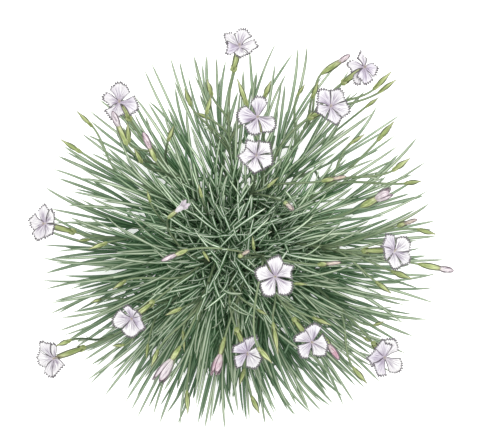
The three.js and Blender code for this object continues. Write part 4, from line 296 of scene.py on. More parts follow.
# Petals of each flower, seen from above the throat: the eye's middle, then for every petal how washed with
# lilac it is, how far it lies above its neighbours, which side (1, -1) has no outline, the middle and the
# corner of its left side, its fringed end, and the corner and the middle of its right side.
PETALS = [
    ((-0.1, -0.4), (
        (0.45, 0.3, 1, ((-3.1, 4.4), (-5.5, 7.4)), ((-5.4, 9.4), (-3.5, 10.8), (-1.6, 12.3)), ((0.8, 12.1), (1, 5.7))),
        (0.35, -0.2, -1, ((0.6, 5.7), (1.5, 11.9)), ((3.5, 11.3), (5.3, 9.3)), ((6.4, 6), (3.1, 2.4))),
        (0.35, 0.1, 0, ((-2.5, -1.6), (-6, -3.5)), ((-8, -0.8), (-10.9, 0.8), (-10.6, 3.6)), ((-7.9, 5.2), (-4.4, 3.5))),
        (0.3, -0.2, 0, ((1.3, -3.8), (2.8, -7.7)), ((0.6, -8.7), (-1.9, -10.7), (-5, -11.7), (-7.5, -9.1)), ((-8.9, -5.7), (-3.5, -3.5))),
        (0.6, 0, 0, ((4.4, 0.8), (8.8, 4.1)), ((10.9, 0.6), (12.2, -4.4)), ((6.9, -8.5), (3.8, -3.5))),
    )),
    ((0.8, 0.5), (
        (0.35, 0.3, 0, ((-1.9, 3.8), (-3.6, 8.1)), ((-2.7, 11), (-0.8, 12.6), (0.3, 13.2), (1.8, 11.8)), ((2.7, 8.6), (2.3, 5.1))),
        (0.1, -0.2, 0, ((2.3, 4.4), (3.3, 9.2)), ((4.1, 10.7), (5.1, 8.6), (6.6, 6.5)), ((6.2, 0.8), (3.8, 0.3))),
        (0.3, -0.1, 0, ((3.5, -0.2), (6.1, -0.4)), ((5.9, -3.2), (5.7, -6.2), (3.5, -7.7)), ((0.6, -9.1), (1.5, -4.4))),
        (0.35, 0.2, 0, ((1.2, -3.2), (1, -7.3)), ((-1.3, -9.3), (-4, -10.9), (-5.6, -9.9), (-6.2, -8.1)), ((-7, -6.3), (-2.9, -2.5))),
        (0.2, 0, 0, ((-3.8, -2.7), (-7.3, -3.4)), ((-9.2, -1.6), (-9.7, 0.6), (-10.4, 3), (-8.3, 4.9)), ((-5.8, 6.5), (-3.2, 3.4))),
    )),
    ((0.3, -1.1), (
        (0.25, 0, 0, ((-4.4, 0.3), (-8.1, 2)), ((-9.4, 5), (-9.7, 7.8), (-6.3, 8.6), (-4.4, 8)), ((-3.5, 6.6), (-1.9, 2.5))),
        (0.35, 0.3, 0, ((-1.6, 3.1), (-2.6, 7.5)), ((-2, 9.1), (1.6, 11.2), (5.6, 9.3)), ((7.4, 4.9), (3.1, 1.9))),
        (0.25, -0.1, 0, ((4.1, 1.4), (9.6, 4.3)), ((11, 1.9), (12.2, -0.8), (10, -2.3)), ((6, -5), (3.1, -3))),
        (0.3, -0.3, 0, ((2.5, -3.3), (5.3, -5.4)), ((3.1, -6.4), (0.9, -7.6), (-1.3, -6.9)), ((-3.1, -5), (-1.6, -3.1))),
        (0.85, 0.2, 0, ((-2.5, -3.9), (-5.3, -5.4)), ((-9.2, -5.4), (-8.3, -3.1), (-8, 0)), ((-7.5, 1.9), (-3.8, 0.1))),
    )),
    ((-0.2, 0.1), (
        (0.5, 0.2, 0, ((-1.7, 3.7), (-3.7, 8.3)), ((-3.4, 10.8), (-0.9, 13.2), (2.5, 13.3), (4.9, 11.8)), ((5.5, 8.6), (2.7, 3.7))),
        (0.55, 0, 0, ((-4.9, -2.8), (-9.8, -4)), ((-12.1, -2.2), (-13.1, 0.6), (-12.6, 3.4), (-10.1, 6.2)), ((-7.1, 6.2), (-3.7, 3.1))),
        (0.5, -0.1, 0, ((0.7, -4.3), (1.6, -9.7)), ((-0.6, -10.9), (-3.4, -11), (-5.8, -9.5)), ((-7.9, -5.5), (-3.7, -3.1))),
        (0.3, 0.1, 0, ((4.3, -0.8), (9.8, -0.5)), ((11.6, -3.1), (11.3, -6.8), (8.6, -9.3), (5.5, -9.7)), ((3.2, -9.2), (1.8, -4))),
        (0.2, -0.6, 0, ((3.7, 0.2), (8.9, 0.4)), ((10.1, -0.4),), ((9.5, -1.6), (4.9, -1.6))),
    )),
    ((0.1, -0.4), (
        (0.45, 0.1, 0, ((-3, 2.6), (-6.1, 5.2)), ((-6.8, 7.3), (-5.9, 9.7), (-3.4, 9.3), (-1.2, 8.5)), ((1.2, 8.8), (0.5, 4))),
        (0.1, 0, 0, ((1.5, 4.3), (2.4, 8.7)), ((5.5, 8.3), (8.8, 8.1), (9.2, 4.9)), ((9.5, 1.5), (4.9, 1))),
        (0.1, 0, 0, ((4.9, 0), (9.6, 0.2)), ((10.5, -2.4), (10.2, -5.9), (7.3, -7.4)), ((4.9, -8.8), (2.6, -4.6))),
        (0.12, 0, 0, ((1.6, -4.9), (3.5, -9)), ((1.5, -10.4), (-0.9, -11.8), (-3, -10.4)), ((-5.8, -6.6), (-3, -3.7))),
        (0.2, 0, 0, ((-3.7, -3), (-7, -5.6)), ((-9.2, -4.3), (-10.7, -2.1), (-11.8, -0.3), (-8.8, 1.6)), ((-6.2, 4.6), (-3.4, 2.3))),
    )),
    ((-0.2, -0.5), (
        (0.55, 0.1, 0, ((-4.4, 1.4), (-8.4, 2.4)), ((-8.1, 6.2), (-7.8, 10.3), (-5.3, 11), (-2.5, 10.3)), ((-0.9, 9.3), (-0.6, 4.4))),
        (0.35, 0, 0, ((0.1, 4.4), (0.2, 9.8)), ((2.8, 10.5), (5.6, 11.2), (8, 8.7), (8.7, 5.6)), ((9, 3.4), (5, 1.9))),
        (0.4, 0.1, 0, ((5.3, 1.5), (10, 2.9)), ((11.2, 0.9), (12.5, -1.6), (12.5, -4.1), (10, -6)), ((7.2, -7.1), (3.4, -3.9))),
        (0.5, 0, 0, ((3.1, -4.5), (6.7, -7.5)), ((6.2, -9.7), (3.7, -12.4), (0.6, -10.6)), ((-2.5, -8.6), (-1.5, -4.7))),
        (0.4, -0.1, 0, ((-2.1, -4.1), (-3.4, -7.5)), ((-5.9, -6), (-9.2, -4.3), (-9, -1.2)), ((-8.4, 1.2), (-4.1, 0))),
    )),
    ((-0.1, -0.3), (
        (0.35, 0.4, 0, ((-2.5, 3.2), (-4.2, 5.7)), ((-3.6, 8.5), (-2.1, 10.9), (-1.5, 8.2)), ((0.9, 5.4), (0.6, 2.5))),
        (0.35, 0.1, 0, ((-3.8, -1.1), (-7.8, -2.8)), ((-9.5, -0.6), (-11.7, 1.6), (-9.8, 3.8)), ((-7.3, 4.2), (-3.5, 1.8))),
        (0.75, 0, 0, ((2.2, 1.5), (5.4, 2.3)), ((7.8, 1.1), (9.3, -0.8), (8.2, -3.2), (6.9, -6.1)), ((4.6, -5.8), (2.4, -3.2))),
        (0.75, 0.3, 0, ((2.2, -4.1), (4.9, -7.9)), ((3.8, -9.8), (0, -11.5), (-2.5, -8.8)), ((-5, -6.5), (-3.2, -2.8))),
        (0.3, -0.6, 0, ((-2.2, -3.8), (-1.9, -10.1)), ((-4.1, -11.2), (-6.3, -9.8), (-6.9, -7.6)), ((-6.1, -5), (-3.2, -2.5))),
    )),
    ((0, 0), (
        (0.5, 0.1, 0, ((-2.6, 3.4), (-6, 6.8)), ((-3.4, 8.7), (-1.9, 8.6), (0.6, 6.3)), ((3, 4.9), (1.6, 2.5))),
        (0.25, 0, 0, ((-3.5, -3.1), (-6.6, -5.8)), ((-8.8, -6.6), (-12, -5.4), (-12.9, -0.9), (-10.3, 3.1)), ((-7.6, 5.6), (-3.6, 2.6))),
        (0.1, 0.1, 0, ((2.8, -4), (5.1, -7.5)), ((3.8, -10), (0.6, -12.6), (-2.5, -12), (-5, -9.7)), ((-5.8, -6.9), (-2.8, -3.5))),
        (0.65, -0.1, 0, ((3.1, 0.8), (5.6, 1.4)), ((6.1, -1.3), (8.6, -6.2)), ((5.5, -8.1), (3.1, -4.2))),
        (0.2, -0.4, 0, ((1.6, 1.9), (3.4, 3.9)), ((5, 3.1),), ((5.6, 1.6), (2.5, 0.9))),
    )),
    ((-0.4, -0.3), (
        (0.25, 0.3, 0, ((-2, 3.8), (-2.6, 7.3)), ((-3.2, 8.8), (-1.3, 9.6), (0.3, 9.3)), ((1.1, 7), (1.3, 3.5))),
        (0.3, 0, 0, ((-5.7, 3.2), (-9.9, 5.6)), ((-10.7, 9.3), (-8.6, 10.9), (-5.4, 10.1)), ((-2.6, 9.6), (-2.2, 4.5))),
        (0.25, 0.2, 0, ((-3.2, -2.6), (-5.1, -5.7)), ((-7.7, -6.4), (-10.7, -4.5), (-11.9, -0.6), (-11.2, 2.6)), ((-9.9, 5), (-5.7, 2.6))),
        (0.3, 0, 0, ((-1.1, -5.7), (-1.1, -12.1)), ((-2.9, -13.2), (-4.8, -11.5)), ((-6.6, -9.3), (-3.8, -4.5))),
        (0.2, -0.2, 0, ((2.9, -1), (5.4, -5.1)), ((4, -7), (1.6, -10.2)), ((-0.6, -13), (-0.8, -5.7))),
    )),
    ((0.2, 0.6), (
        (0.5, 0.2, 0, ((-0.6, 4.4), (-1.9, 8.4)), ((1.2, 10), (5.3, 11.8)), ((6.5, 9.2), (3.1, 5))),
        (0.9, 0, 0, ((-4.4, 0.4), (-9.2, 0.6)), ((-9.3, 4.1), (-6.5, 5.9), (-4.1, 7.2)), ((-2, 8.2), (-0.7, 4.4))),
        (0.75, 0, 0, ((-1.9, -4.1), (-3.7, -8.1)), ((-5, -9.4), (-6.9, -9.7), (-8, -5.9)), ((-8, -1.9), (-3.7, -0.2))),
        (0.2, 0.1, 0, ((5, -1.7), (8.9, -3.8)), ((8.1, -6.6), (5.6, -9.7), (2.5, -9.3)), ((-0.5, -7.7), (-0.5, -3.7))),
        (0.12, -0.1, 0, ((2.8, 2.4), (5.9, 3.6)), ((7.9, 0.9),), ((9.7, -3), (5, -1.1))),
    )),
    ((0, -0.1), (
        (0.2, 0.1, 0, ((-2.9, 4.9), (-4.7, 9.4)), ((-2.4, 11.6), (0.6, 12.8), (2.7, 13.1)), ((4.4, 9.1), (3.2, 4.3))),
        (0.25, 0, 0, ((3.3, 4.1), (5, 7.7)), ((8.5, 7.4), (11.8, 6.6), (10.2, 3)), ((10.2, -1), (4.9, -0.2))),
        (0.25, 0.1, 0, ((5.2, -2.1), (10.2, -3.4)), ((10.9, -6.7), (9.7, -10.3), (6.1, -11.8)), ((2.3, -10.3), (1.3, -4.9))),
        (0.2, 0, 0, ((0.1, -5.2), (-0.1, -10.5)), ((-3, -12.7), (-6.7, -11.9), (-8.9, -7.9)), ((-8.7, -4.2), (-4.3, -1.8))),
        (0.15, 0.1, 0, ((-4.9, -1.4), (-9.7, -2.7)), ((-11.8, -0.6), (-12.6, 3), (-11.2, 5.2), (-7.9, 6.4)), ((-5.5, 6.9), (-3.5, 3.5))),
    )),
    ((0, 0), (
        (0.5, 0.1, 0, ((-1.8, 4.4), (-3.9, 8)), ((-1.9, 10), (0.6, 11.6), (2.8, 11.9)), ((5.7, 9.8), (2.5, 4))),
        (0.35, 0, 0, ((-5.3, 0.4), (-10.9, 0.4)), ((-11.1, 2.8), (-8.7, 5), (-6.2, 6.6)), ((-4.3, 7.4), (-1.9, 4))),
        (0.5, 0, 0, ((-1.3, -5), (-2.7, -10)), ((-4.7, -10.8), (-6.8, -10), (-8.8, -6.2)), ((-8.6, -2.2), (-4, -0.7))),
        (0.1, 0.1, 0, ((4.4, -2.2), (9.2, -5.4)), ((8.7, -8.7), (5, -9.1)), ((0.9, -7.7), (0.2, -4))),
        (0.15, -0.1, 0, ((3.7, 2.1), (7, 4.9)), ((9, 2.2), (10.6, -1.9)), ((9.9, -5.1), (5.4, -2.3))),
    )),
    ((-0.3, -0.9), (
        (0.6, 0.1, 0, ((-3.8, 1.6), (-7.7, 2.5)), ((-6.3, 6.3), (-5.6, 10.4), (-3.1, 10.3)), ((-0.4, 9.3), (-0.5, 4.4))),
        (0.2, 0, 0, ((0.6, 3.8), (1.3, 6.9)), ((3.8, 8.7), (6.9, 8.7), (9.9, 5.6)), ((9, -0.1), (5, -0.8))),
        (0.4, 0, 0, ((5, -1.3), (8.7, -1)), ((10.7, -3.8), (10, -7.5), (7.5, -9.3)), ((5, -9.7), (2.3, -5.3))),
        (0.3, 0.2, 0, ((1.9, -6), (4.5, -9.9)), ((2.5, -11.7), (0, -12.6), (-1.9, -11.5)), ((-4.4, -6.9), (-2.5, -3.5))),
        (0.5, -0.2, 0, ((-2.5, -3.1), (-5, -6.6)), ((-6.2, -4.4), (-6.8, -0.6)), ((-7.8, 2), (-3.5, 1))),
    )),
    ((0, 0.3), (
        (0.5, 0.4, 0, ((-3.5, 3.1), (-5.8, 6.1)), ((-3.5, 9.5), (-1.1, 12.4), (0.2, 9.6), (2.5, 9.3)), ((4.3, 8.1), (2.1, 4))),
        (0.1, -0.3, 0, ((1, 5.1), (0.2, 10.7)), ((2.5, 11.9), (6.3, 12.1), (8, 9.8), (8.9, 6.9)), ((8.1, 4.5), (4.1, 3))),
        (0.12, 0, 0, ((4.7, -0.4), (9.5, -0.8)), ((11.6, -3.5), (11.4, -6.9), (9.2, -9.5), (5.7, -10)), ((3, -8.8), (1.5, -4.4))),
        (0.7, 0.2, 0, ((-0.3, -5.7), (1.1, -11.4)), ((-1.6, -12.3), (-4.4, -11.9), (-6.2, -7.6)), ((-7.1, -3.5), (-3.5, -2))),
        (0.85, -0.2, 0, ((-3.5, -1.6), (-7.8, -6.1)), ((-9.5, -3.2), (-11.4, -0.5), (-8.5, 2.4)), ((-5.9, 5.6), (-3.2, 2.8))),
    )),
]
# ---- end of tables


# ---------------------------------------------------------------- small helpers
rng = np.random.default_rng(4021)


def arr(p):
    return np.array(p, float)


def unit(v):
    v = np.asarray(v, float)
    return v / np.maximum(np.linalg.norm(v, axis=-1, keepdims=True), 1e-12)


def smooth(x):
    x = np.clip(x, 0, 1)
    return x * x * (3 - 2 * x)


def mixed(a, b, t):
    return a + (b - a) * t


def bezier(p, t):
    p = arr(p)
    t = np.asarray(t, float)[:, None]
    return (1 - t) ** 3 * p[0] + 3 * (1 - t) ** 2 * t * p[1] + 3 * (1 - t) * t * t * p[2] + t**3 * p[3]


def through(points, n):
    """A smooth line through points (Catmull-Rom)."""
    p = arr(points)
    p = np.vstack([2 * p[0] - p[1], p, 2 * p[-1] - p[-2]])
    q = np.linspace(0, len(p) - 3, n)
    i = np.minimum(q.astype(int), len(p) - 4)
    t = (q - i)[:, None]
    a, b, c, d = p[i], p[i + 1], p[i + 2], p[i + 3]
    return 0.5 * (2 * b + (c - a) * t + (2 * a - 5 * b + 4 * c - d) * t**2 + (3 * b - a - 3 * c + d) * t**3)


def frames(path, up):
    """Tangent, side and lift along a line, with no sudden turn. Side, lift and tangent are right-handed."""
    t = unit(np.gradient(path, axis=0))
    side = np.empty_like(path)
    s = np.cross(up, t[0])
    if np.linalg.norm(s) < 1e-3:
        s = np.cross((1.0, 0.3, 0.1), t[0])
    for i in range(len(path)):
        s = s - t[i] * (s @ t[i])
        s = s / max(np.linalg.norm(s), 1e-9)
        side[i] = s
    return t, side, np.cross(t, side)


def across_of(axis, hint=(0.31, 0.17, 0.94)):
    s = np.cross(hint, axis)
    if np.linalg.norm(s) < 0.05:
        s = np.cross((1, 0, 0), axis)
    s = unit(s)
    return s, np.cross(axis, s)


def curve_of(xs, ys):
    """A smooth profile through a few stations."""
    fine = np.linspace(xs[0], xs[-1], 200)
    values = np.interp(fine, xs, ys)
    kernel = np.hanning(15)
    kernel /= kernel.sum()
    padded = np.concatenate([2 * values[0] - values[7:0:-1], values, 2 * values[-1] - values[-2:-9:-1]])
    values = np.convolve(padded, kernel, "valid")
    return lambda x: np.interp(x, fine, values)


# ---------------------------------------------------------------- meshes, in millimetres
class Piece:
    """Gathers closed bodies. Each point carries a tint: R its leaf's or petal's own random number,
    G how far along, B how far across, A light for painted shade (1 at the outside of the plant, 0 deep inside)."""

    def __init__(self, name):
        self.name = name
        self.points, self.tints, self.faces, self.charts = [], [], [], []
        self.count = 0

    def put(self, points, tint):
        points = np.asarray(points, float).reshape(-1, 3)
        tint = np.broadcast_to(np.asarray(tint, float), (len(points), 4)) if np.ndim(tint) == 1 else np.asarray(tint, float).reshape(-1, 4)
        self.points.append(points)
        self.tints.append(tint)
        self.count += len(points)
        return np.arange(self.count - len(points), self.count)

    def chart(self, w, h):
        self.charts.append((max(w, 0.4), max(h, 0.4)))
        return len(self.charts) - 1

    def grid(self, ids, u, v, material, flip=False):
        """Faces between the points of a grid. u and v are the corners' places on the surface, in mm.
        A row that is one point is closed by triangles."""
        ids = np.asarray(ids)
        nj, ni = ids.shape
        U = np.broadcast_to(u, (nj, ni))
        W = np.broadcast_to(np.asarray(v)[:, None] if np.ndim(v) == 1 else v, (nj, ni))
        UV = np.stack([U - U.min(), W - W.min()], -1)
        c = self.chart(UV[..., 0].max(), UV[..., 1].max())
        single = (ids == ids[:, :1]).all(1)
        for kind in ("quad", "up", "down"):
            j = [r for r in range(nj - 1) if kind == ("up" if single[r + 1] else "down" if single[r] else "quad")]
            if not j:
                continue
            J, I = np.meshgrid(j, np.arange(ni - 1), indexing="ij")
            J, I = J.ravel(), I.ravel()
            corners = {
                "quad": [(J, I), (J, I + 1), (J + 1, I + 1), (J + 1, I)],
                "up": [(J, I), (J, I + 1), (J + 1, I)],
                "down": [(J, I), (J + 1, I + 1), (J + 1, I)],
            }[kind]
            if flip:
                corners = corners[::-1]
            f = np.stack([ids[a, b] for a, b in corners], 1)
            uv = np.stack([UV[a, b] for a, b in corners], 1)
            if kind != "quad":  # the tip's corner sits between its two neighbours
                for k, (a, b) in enumerate(corners):
                    if single[a].all():
                        others = [x for x in range(3) if x != k]
                        uv[:, k, 0] = (uv[:, others[0], 0] + uv[:, others[1], 0]) / 2
            self.faces.append((f, uv, c, material))

    def cap(self, ids, material, flip=False):
        """Closes a ring of points with a fan round its middle."""
        ids = np.asarray(ids)
        pts = np.concatenate(self.points)[ids] if len(self.points) > 1 else self.points[0][ids]
        tint = np.concatenate(self.tints)[ids].mean(0)
        mid = self.put(pts.mean(0), tint)[0]
        r = np.linalg.norm(pts - pts.mean(0), axis=1).max()
        a = np.linspace(0, 2 * np.pi, len(ids) + 1)
        ring = np.stack([r + r * np.cos(a), r + r * np.sin(a)], -1)
        c = self.chart(2 * r, 2 * r)
        n = len(ids)
        k = np.arange(n)
        nxt = (k + 1) % n
        f = np.stack([ids[k], ids[nxt], np.full(n, mid)], 1)
        uv = np.stack([ring[k], ring[k + 1], np.full((n, 2), r)], 1)
        if flip:
            f, uv = f[:, ::-1], uv[:, ::-1]
        self.faces.append((f, uv, c, material))

    def tube(self, path, radius, tint, material, sides=8, up=(0.31, 0.17, 0.94), section=None, close=(True, True), tip=False):
        """A closed sweep. radius is a number for each station, section an optional list of (x, y)
        for each station, counter-clockwise; tint a grid (stations, corners, 4)."""
        path = np.asarray(path, float)
        n = len(path)
        t, side, lift = frames(path, up)
        if section is None:
            a = np.linspace(0, 2 * np.pi, sides, endpoint=False)
            r = np.broadcast_to(np.asarray(radius, float)[:, None] if np.ndim(radius) == 1 else radius, (n, sides))
            sx, sy = r * np.cos(a), r * np.sin(a)
        else:
            sx, sy = section[..., 0], section[..., 1]
            sides = sx.shape[1]
        pts = path[:, None] + side[:, None] * sx[..., None] + lift[:, None] * sy[..., None]
        tint = np.broadcast_to(tint, (n, sides, 4))
        return self.rings(pts, tint, material, close, tip)

    def rings(self, pts, tint, material, close=(True, True), tip=False):
        """A closed body from rings of points, counter-clockwise as seen from the far end."""
        n, sides = pts.shape[:2]
        if tip:
            body = self.put(pts[:-1], tint[:-1]).reshape(n - 1, sides)
            last = self.put(pts[-1].mean(0), tint[-1].mean(0))
            ids = np.vstack([body, np.full(sides, last[0])])
        else:
            ids = self.put(pts, tint).reshape(n, sides)
        around = np.concatenate([[0], np.cumsum(np.linalg.norm(np.diff(np.concatenate([pts, pts[:, :1]], 1), axis=1), axis=2).mean(0))])
        along = np.concatenate([[0], np.cumsum(np.linalg.norm(np.diff(pts.mean(1), axis=0), axis=1) + 1e-4)])
        self.grid(np.concatenate([ids, ids[:, :1]], 1), around, along, material)
        if close[0]:
            self.cap(ids[0], material, flip=True)
        if close[1] and not tip:
            self.cap(ids[-1], material)
        return ids

    def sheet(self, P, thickness, tint, material, under=None):
        """A thin closed blade: two skins that meet along the outline. under is the tint's G below."""
        nj, ni = P.shape[:2]
        du = np.gradient(P, axis=1)
        dv = np.gradient(P, axis=0)
        N = unit(np.cross(du, dv))
        j = np.minimum(np.arange(nj), np.arange(nj)[::-1])[:, None]
        i = np.minimum(np.arange(ni), np.arange(ni)[::-1])[None]
        inner = (j > 0) & (i > 0)
        thick = thickness * np.minimum(1, 0.45 + 0.55 * np.minimum(j, i) / 2.0) * inner
        top = self.put(P + N * thick[..., None] / 2, tint).reshape(nj, ni)
        low = tint if under is None else under
        pts = P - N * thick[..., None] / 2
        bottom = top.copy()
        bottom[inner] = self.put(pts[inner], low[inner])
        u = np.linalg.norm(np.diff(P, axis=1), axis=2).sum(1).max() * np.linspace(0, 1, ni)
        v = np.concatenate([[0], np.cumsum(np.linalg.norm(np.diff(P[:, ni // 2], axis=0), axis=1))])
        # the outline as laid flat keeps its real widths
        wide = np.linalg.norm(np.diff(P, axis=1), axis=2).sum(1)
        flat = (u[-1] / 2 + (np.linspace(-0.5, 0.5, ni)[None] * wide[:, None]))
        self.grid(top, flat, v, material)
        self.grid(bottom, flat, v, material, flip=True)
        return top

    # the surface laid out flat, chart by chart, in rows
    def layout(self):
        pad = 0.5
        sizes = np.array([(w + pad, h + pad) for w, h in self.charts])
        order = np.argsort(-sizes[:, 1], kind="stable")
        width = math.sqrt(sizes.prod(1).sum()) * 1.02
        width = max(width, sizes[:, 0].max())
        for _ in range(60):
            x = y = row = 0.0
            spots = np.zeros((len(sizes), 2))
            for k in order:
                w, h = sizes[k]
                if x + w > width:
                    x, y, row = 0.0, y + row, 0.0
                spots[k] = (x, y)
                x += w
                row = max(row, h)
            if y + row <= width:
                break
            width *= 1.02
        return spots + pad / 2, width

    def build(self, materials, node, slot):
        co = np.concatenate(self.points)
        tint = np.concatenate(self.tints)
        spots, width = self.layout()
        loops, uvs, sizes, mats = [], [], [], []
        for f, uv, c, m in self.faces:
            loops.append(f.ravel())
            uvs.append(((uv + spots[c]) / width).reshape(-1, 2))
            sizes.append(np.full(len(f), f.shape[1]))
            mats.append(np.full(len(f), m))
        loops, uvs, sizes, mats = (np.concatenate(x) for x in (loops, uvs, sizes, mats))
        me = bpy.data.meshes.new(self.name)
        me.vertices.add(len(co))
        me.vertices.foreach_set("co", (co * MM).astype(np.float32).ravel())
        me.loops.add(len(loops))
        me.loops.foreach_set("vertex_index", loops.astype(np.int32))
        me.polygons.add(len(sizes))
        me.polygons.foreach_set("loop_start", np.concatenate([[0], np.cumsum(sizes)[:-1]]).astype(np.int32))
        me.polygons.foreach_set("material_index", mats.astype(np.int32))
        me.update(calc_edges=True)
        layer = me.uv_layers.new(name="OFBake")
        layer.data.foreach_set("uv", uvs.astype(np.float32).ravel())
        a = me.attributes.new("tint", "FLOAT_COLOR", "POINT")
        a.data.foreach_set("color", np.clip(tint, 0, 1).astype(np.float32).ravel())
        me.shade_smooth()
        me.set_sharp_from_angle(angle=math.radians(52))
        for m in materials:
            me.materials.append(m)
        o = bpy.data.objects.new(self.name, me)
        bpy.context.scene.collection.objects.link(o)
        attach(o, "root")
        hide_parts(node)
        return o


# ---------------------------------------------------------------- materials
def lin(r, g, b):
    return tuple(((c / 255 + 0.055) / 1.055) ** 2.4 if c > 10 else c / 255 / 12.92 for c in (r, g, b)) + (1.0,)


class Surface:
    """A Principled material and the few nodes that its pattern needs."""

    def __init__(self, name, **settings):
        self.material = bpy.data.materials.new(name)
        self.material.use_nodes = True
        self.tree = self.material.node_tree
        self.tree.nodes.clear()
        out = self.node("ShaderNodeOutputMaterial")
        self.shader = self.node("ShaderNodeBsdfPrincipled")
        self.tree.links.new(self.shader.outputs[0], out.inputs[0])
        for key, value in settings.items():
            self.shader.inputs[key.replace("_", " ")].default_value = value

    def node(self, kind, **props):
        n = self.tree.nodes.new(kind)
        for k, v in props.items():
            setattr(n, k, v)
        return n

    def feed(self, socket, value):
        if isinstance(value, bpy.types.NodeSocket):
            self.tree.links.new(value, socket)
        else:
            socket.default_value = value

    def tint(self):
        a = self.node("ShaderNodeAttribute", attribute_type="GEOMETRY", attribute_name="tint")
        s = self.node("ShaderNodeSeparateColor")
        self.tree.links.new(a.outputs["Color"], s.inputs[0])
        return s.outputs[0], s.outputs[1], s.outputs[2], a.outputs["Alpha"]

    def math(self, op, a, b=0.0, c=0.0, clamp=False):
        n = self.node("ShaderNodeMath", operation=op, use_clamp=clamp)
        self.feed(n.inputs[0], a)
        self.feed(n.inputs[1], b)
        if op in ("MULTIPLY_ADD", "WRAP", "SMOOTH_MIN", "COMPARE"):
            self.feed(n.inputs[2], c)
        return n.outputs[0]

    def fade(self, value, a, b, lo=0.0, hi=1.0):
        n = self.node("ShaderNodeMapRange", interpolation_type="SMOOTHSTEP")
        for k, v in enumerate((value, a, b, lo, hi)):
            self.feed(n.inputs[k], v)
        return n.outputs[0]

    def mix(self, fac, a, b, blend="MIX", **props):
        n = self.node("ShaderNodeMix", data_type="RGBA", blend_type=blend, **props)
        self.feed(n.inputs[0], fac)
        self.feed(n.inputs[6], a)
        self.feed(n.inputs[7], b)
        return n.outputs[2]

    def ramp(self, fac, stops):
        n = self.node("ShaderNodeValToRGB")
        e = n.color_ramp.elements
        while len(e) > 1:
            e.remove(e[-1])
        e[0].position, e[0].color = stops[0]
        for p, c in stops[1:]:
            e.new(p).color = c
        self.feed(n.inputs[0], fac)
        return n.outputs[0]

    def spot(self, x, y, z):
        n = self.node("ShaderNodeCombineXYZ")
        for k, v in enumerate((x, y, z)):
            self.feed(n.inputs[k], v)
        return n.outputs[0]

    def place(self):
        return self.node("ShaderNodeTexCoord").outputs["Object"]

    def turned(self, a, b):
        """1 where the surface turns down and sideways, so that it sees little sky."""
        n = self.node("ShaderNodeSeparateXYZ")
        self.tree.links.new(self.node("ShaderNodeNewGeometry").outputs["Normal"], n.inputs[0])
        return self.fade(n.outputs[2], a, b)

    def noise(self, vector, scale, detail=2.0, rough=0.5):
        n = self.node("ShaderNodeTexNoise")
        self.feed(n.inputs["Vector"], vector)
        n.inputs["Scale"].default_value = scale
        n.inputs["Detail"].default_value = detail
        n.inputs["Roughness"].default_value = rough
        return n.outputs[0]

    def bump(self, height, strength, distance):
        n = self.node("ShaderNodeBump")
        n.inputs["Strength"].default_value = strength
        n.inputs["Distance"].default_value = distance
        self.feed(n.inputs["Height"], height)
        self.tree.links.new(n.outputs[0], self.shader.inputs["Normal"])

    def colour(self, c):
        self.feed(self.shader.inputs["Base Color"], c)

    def rough(self, value):
        self.feed(self.shader.inputs["Roughness"], value)


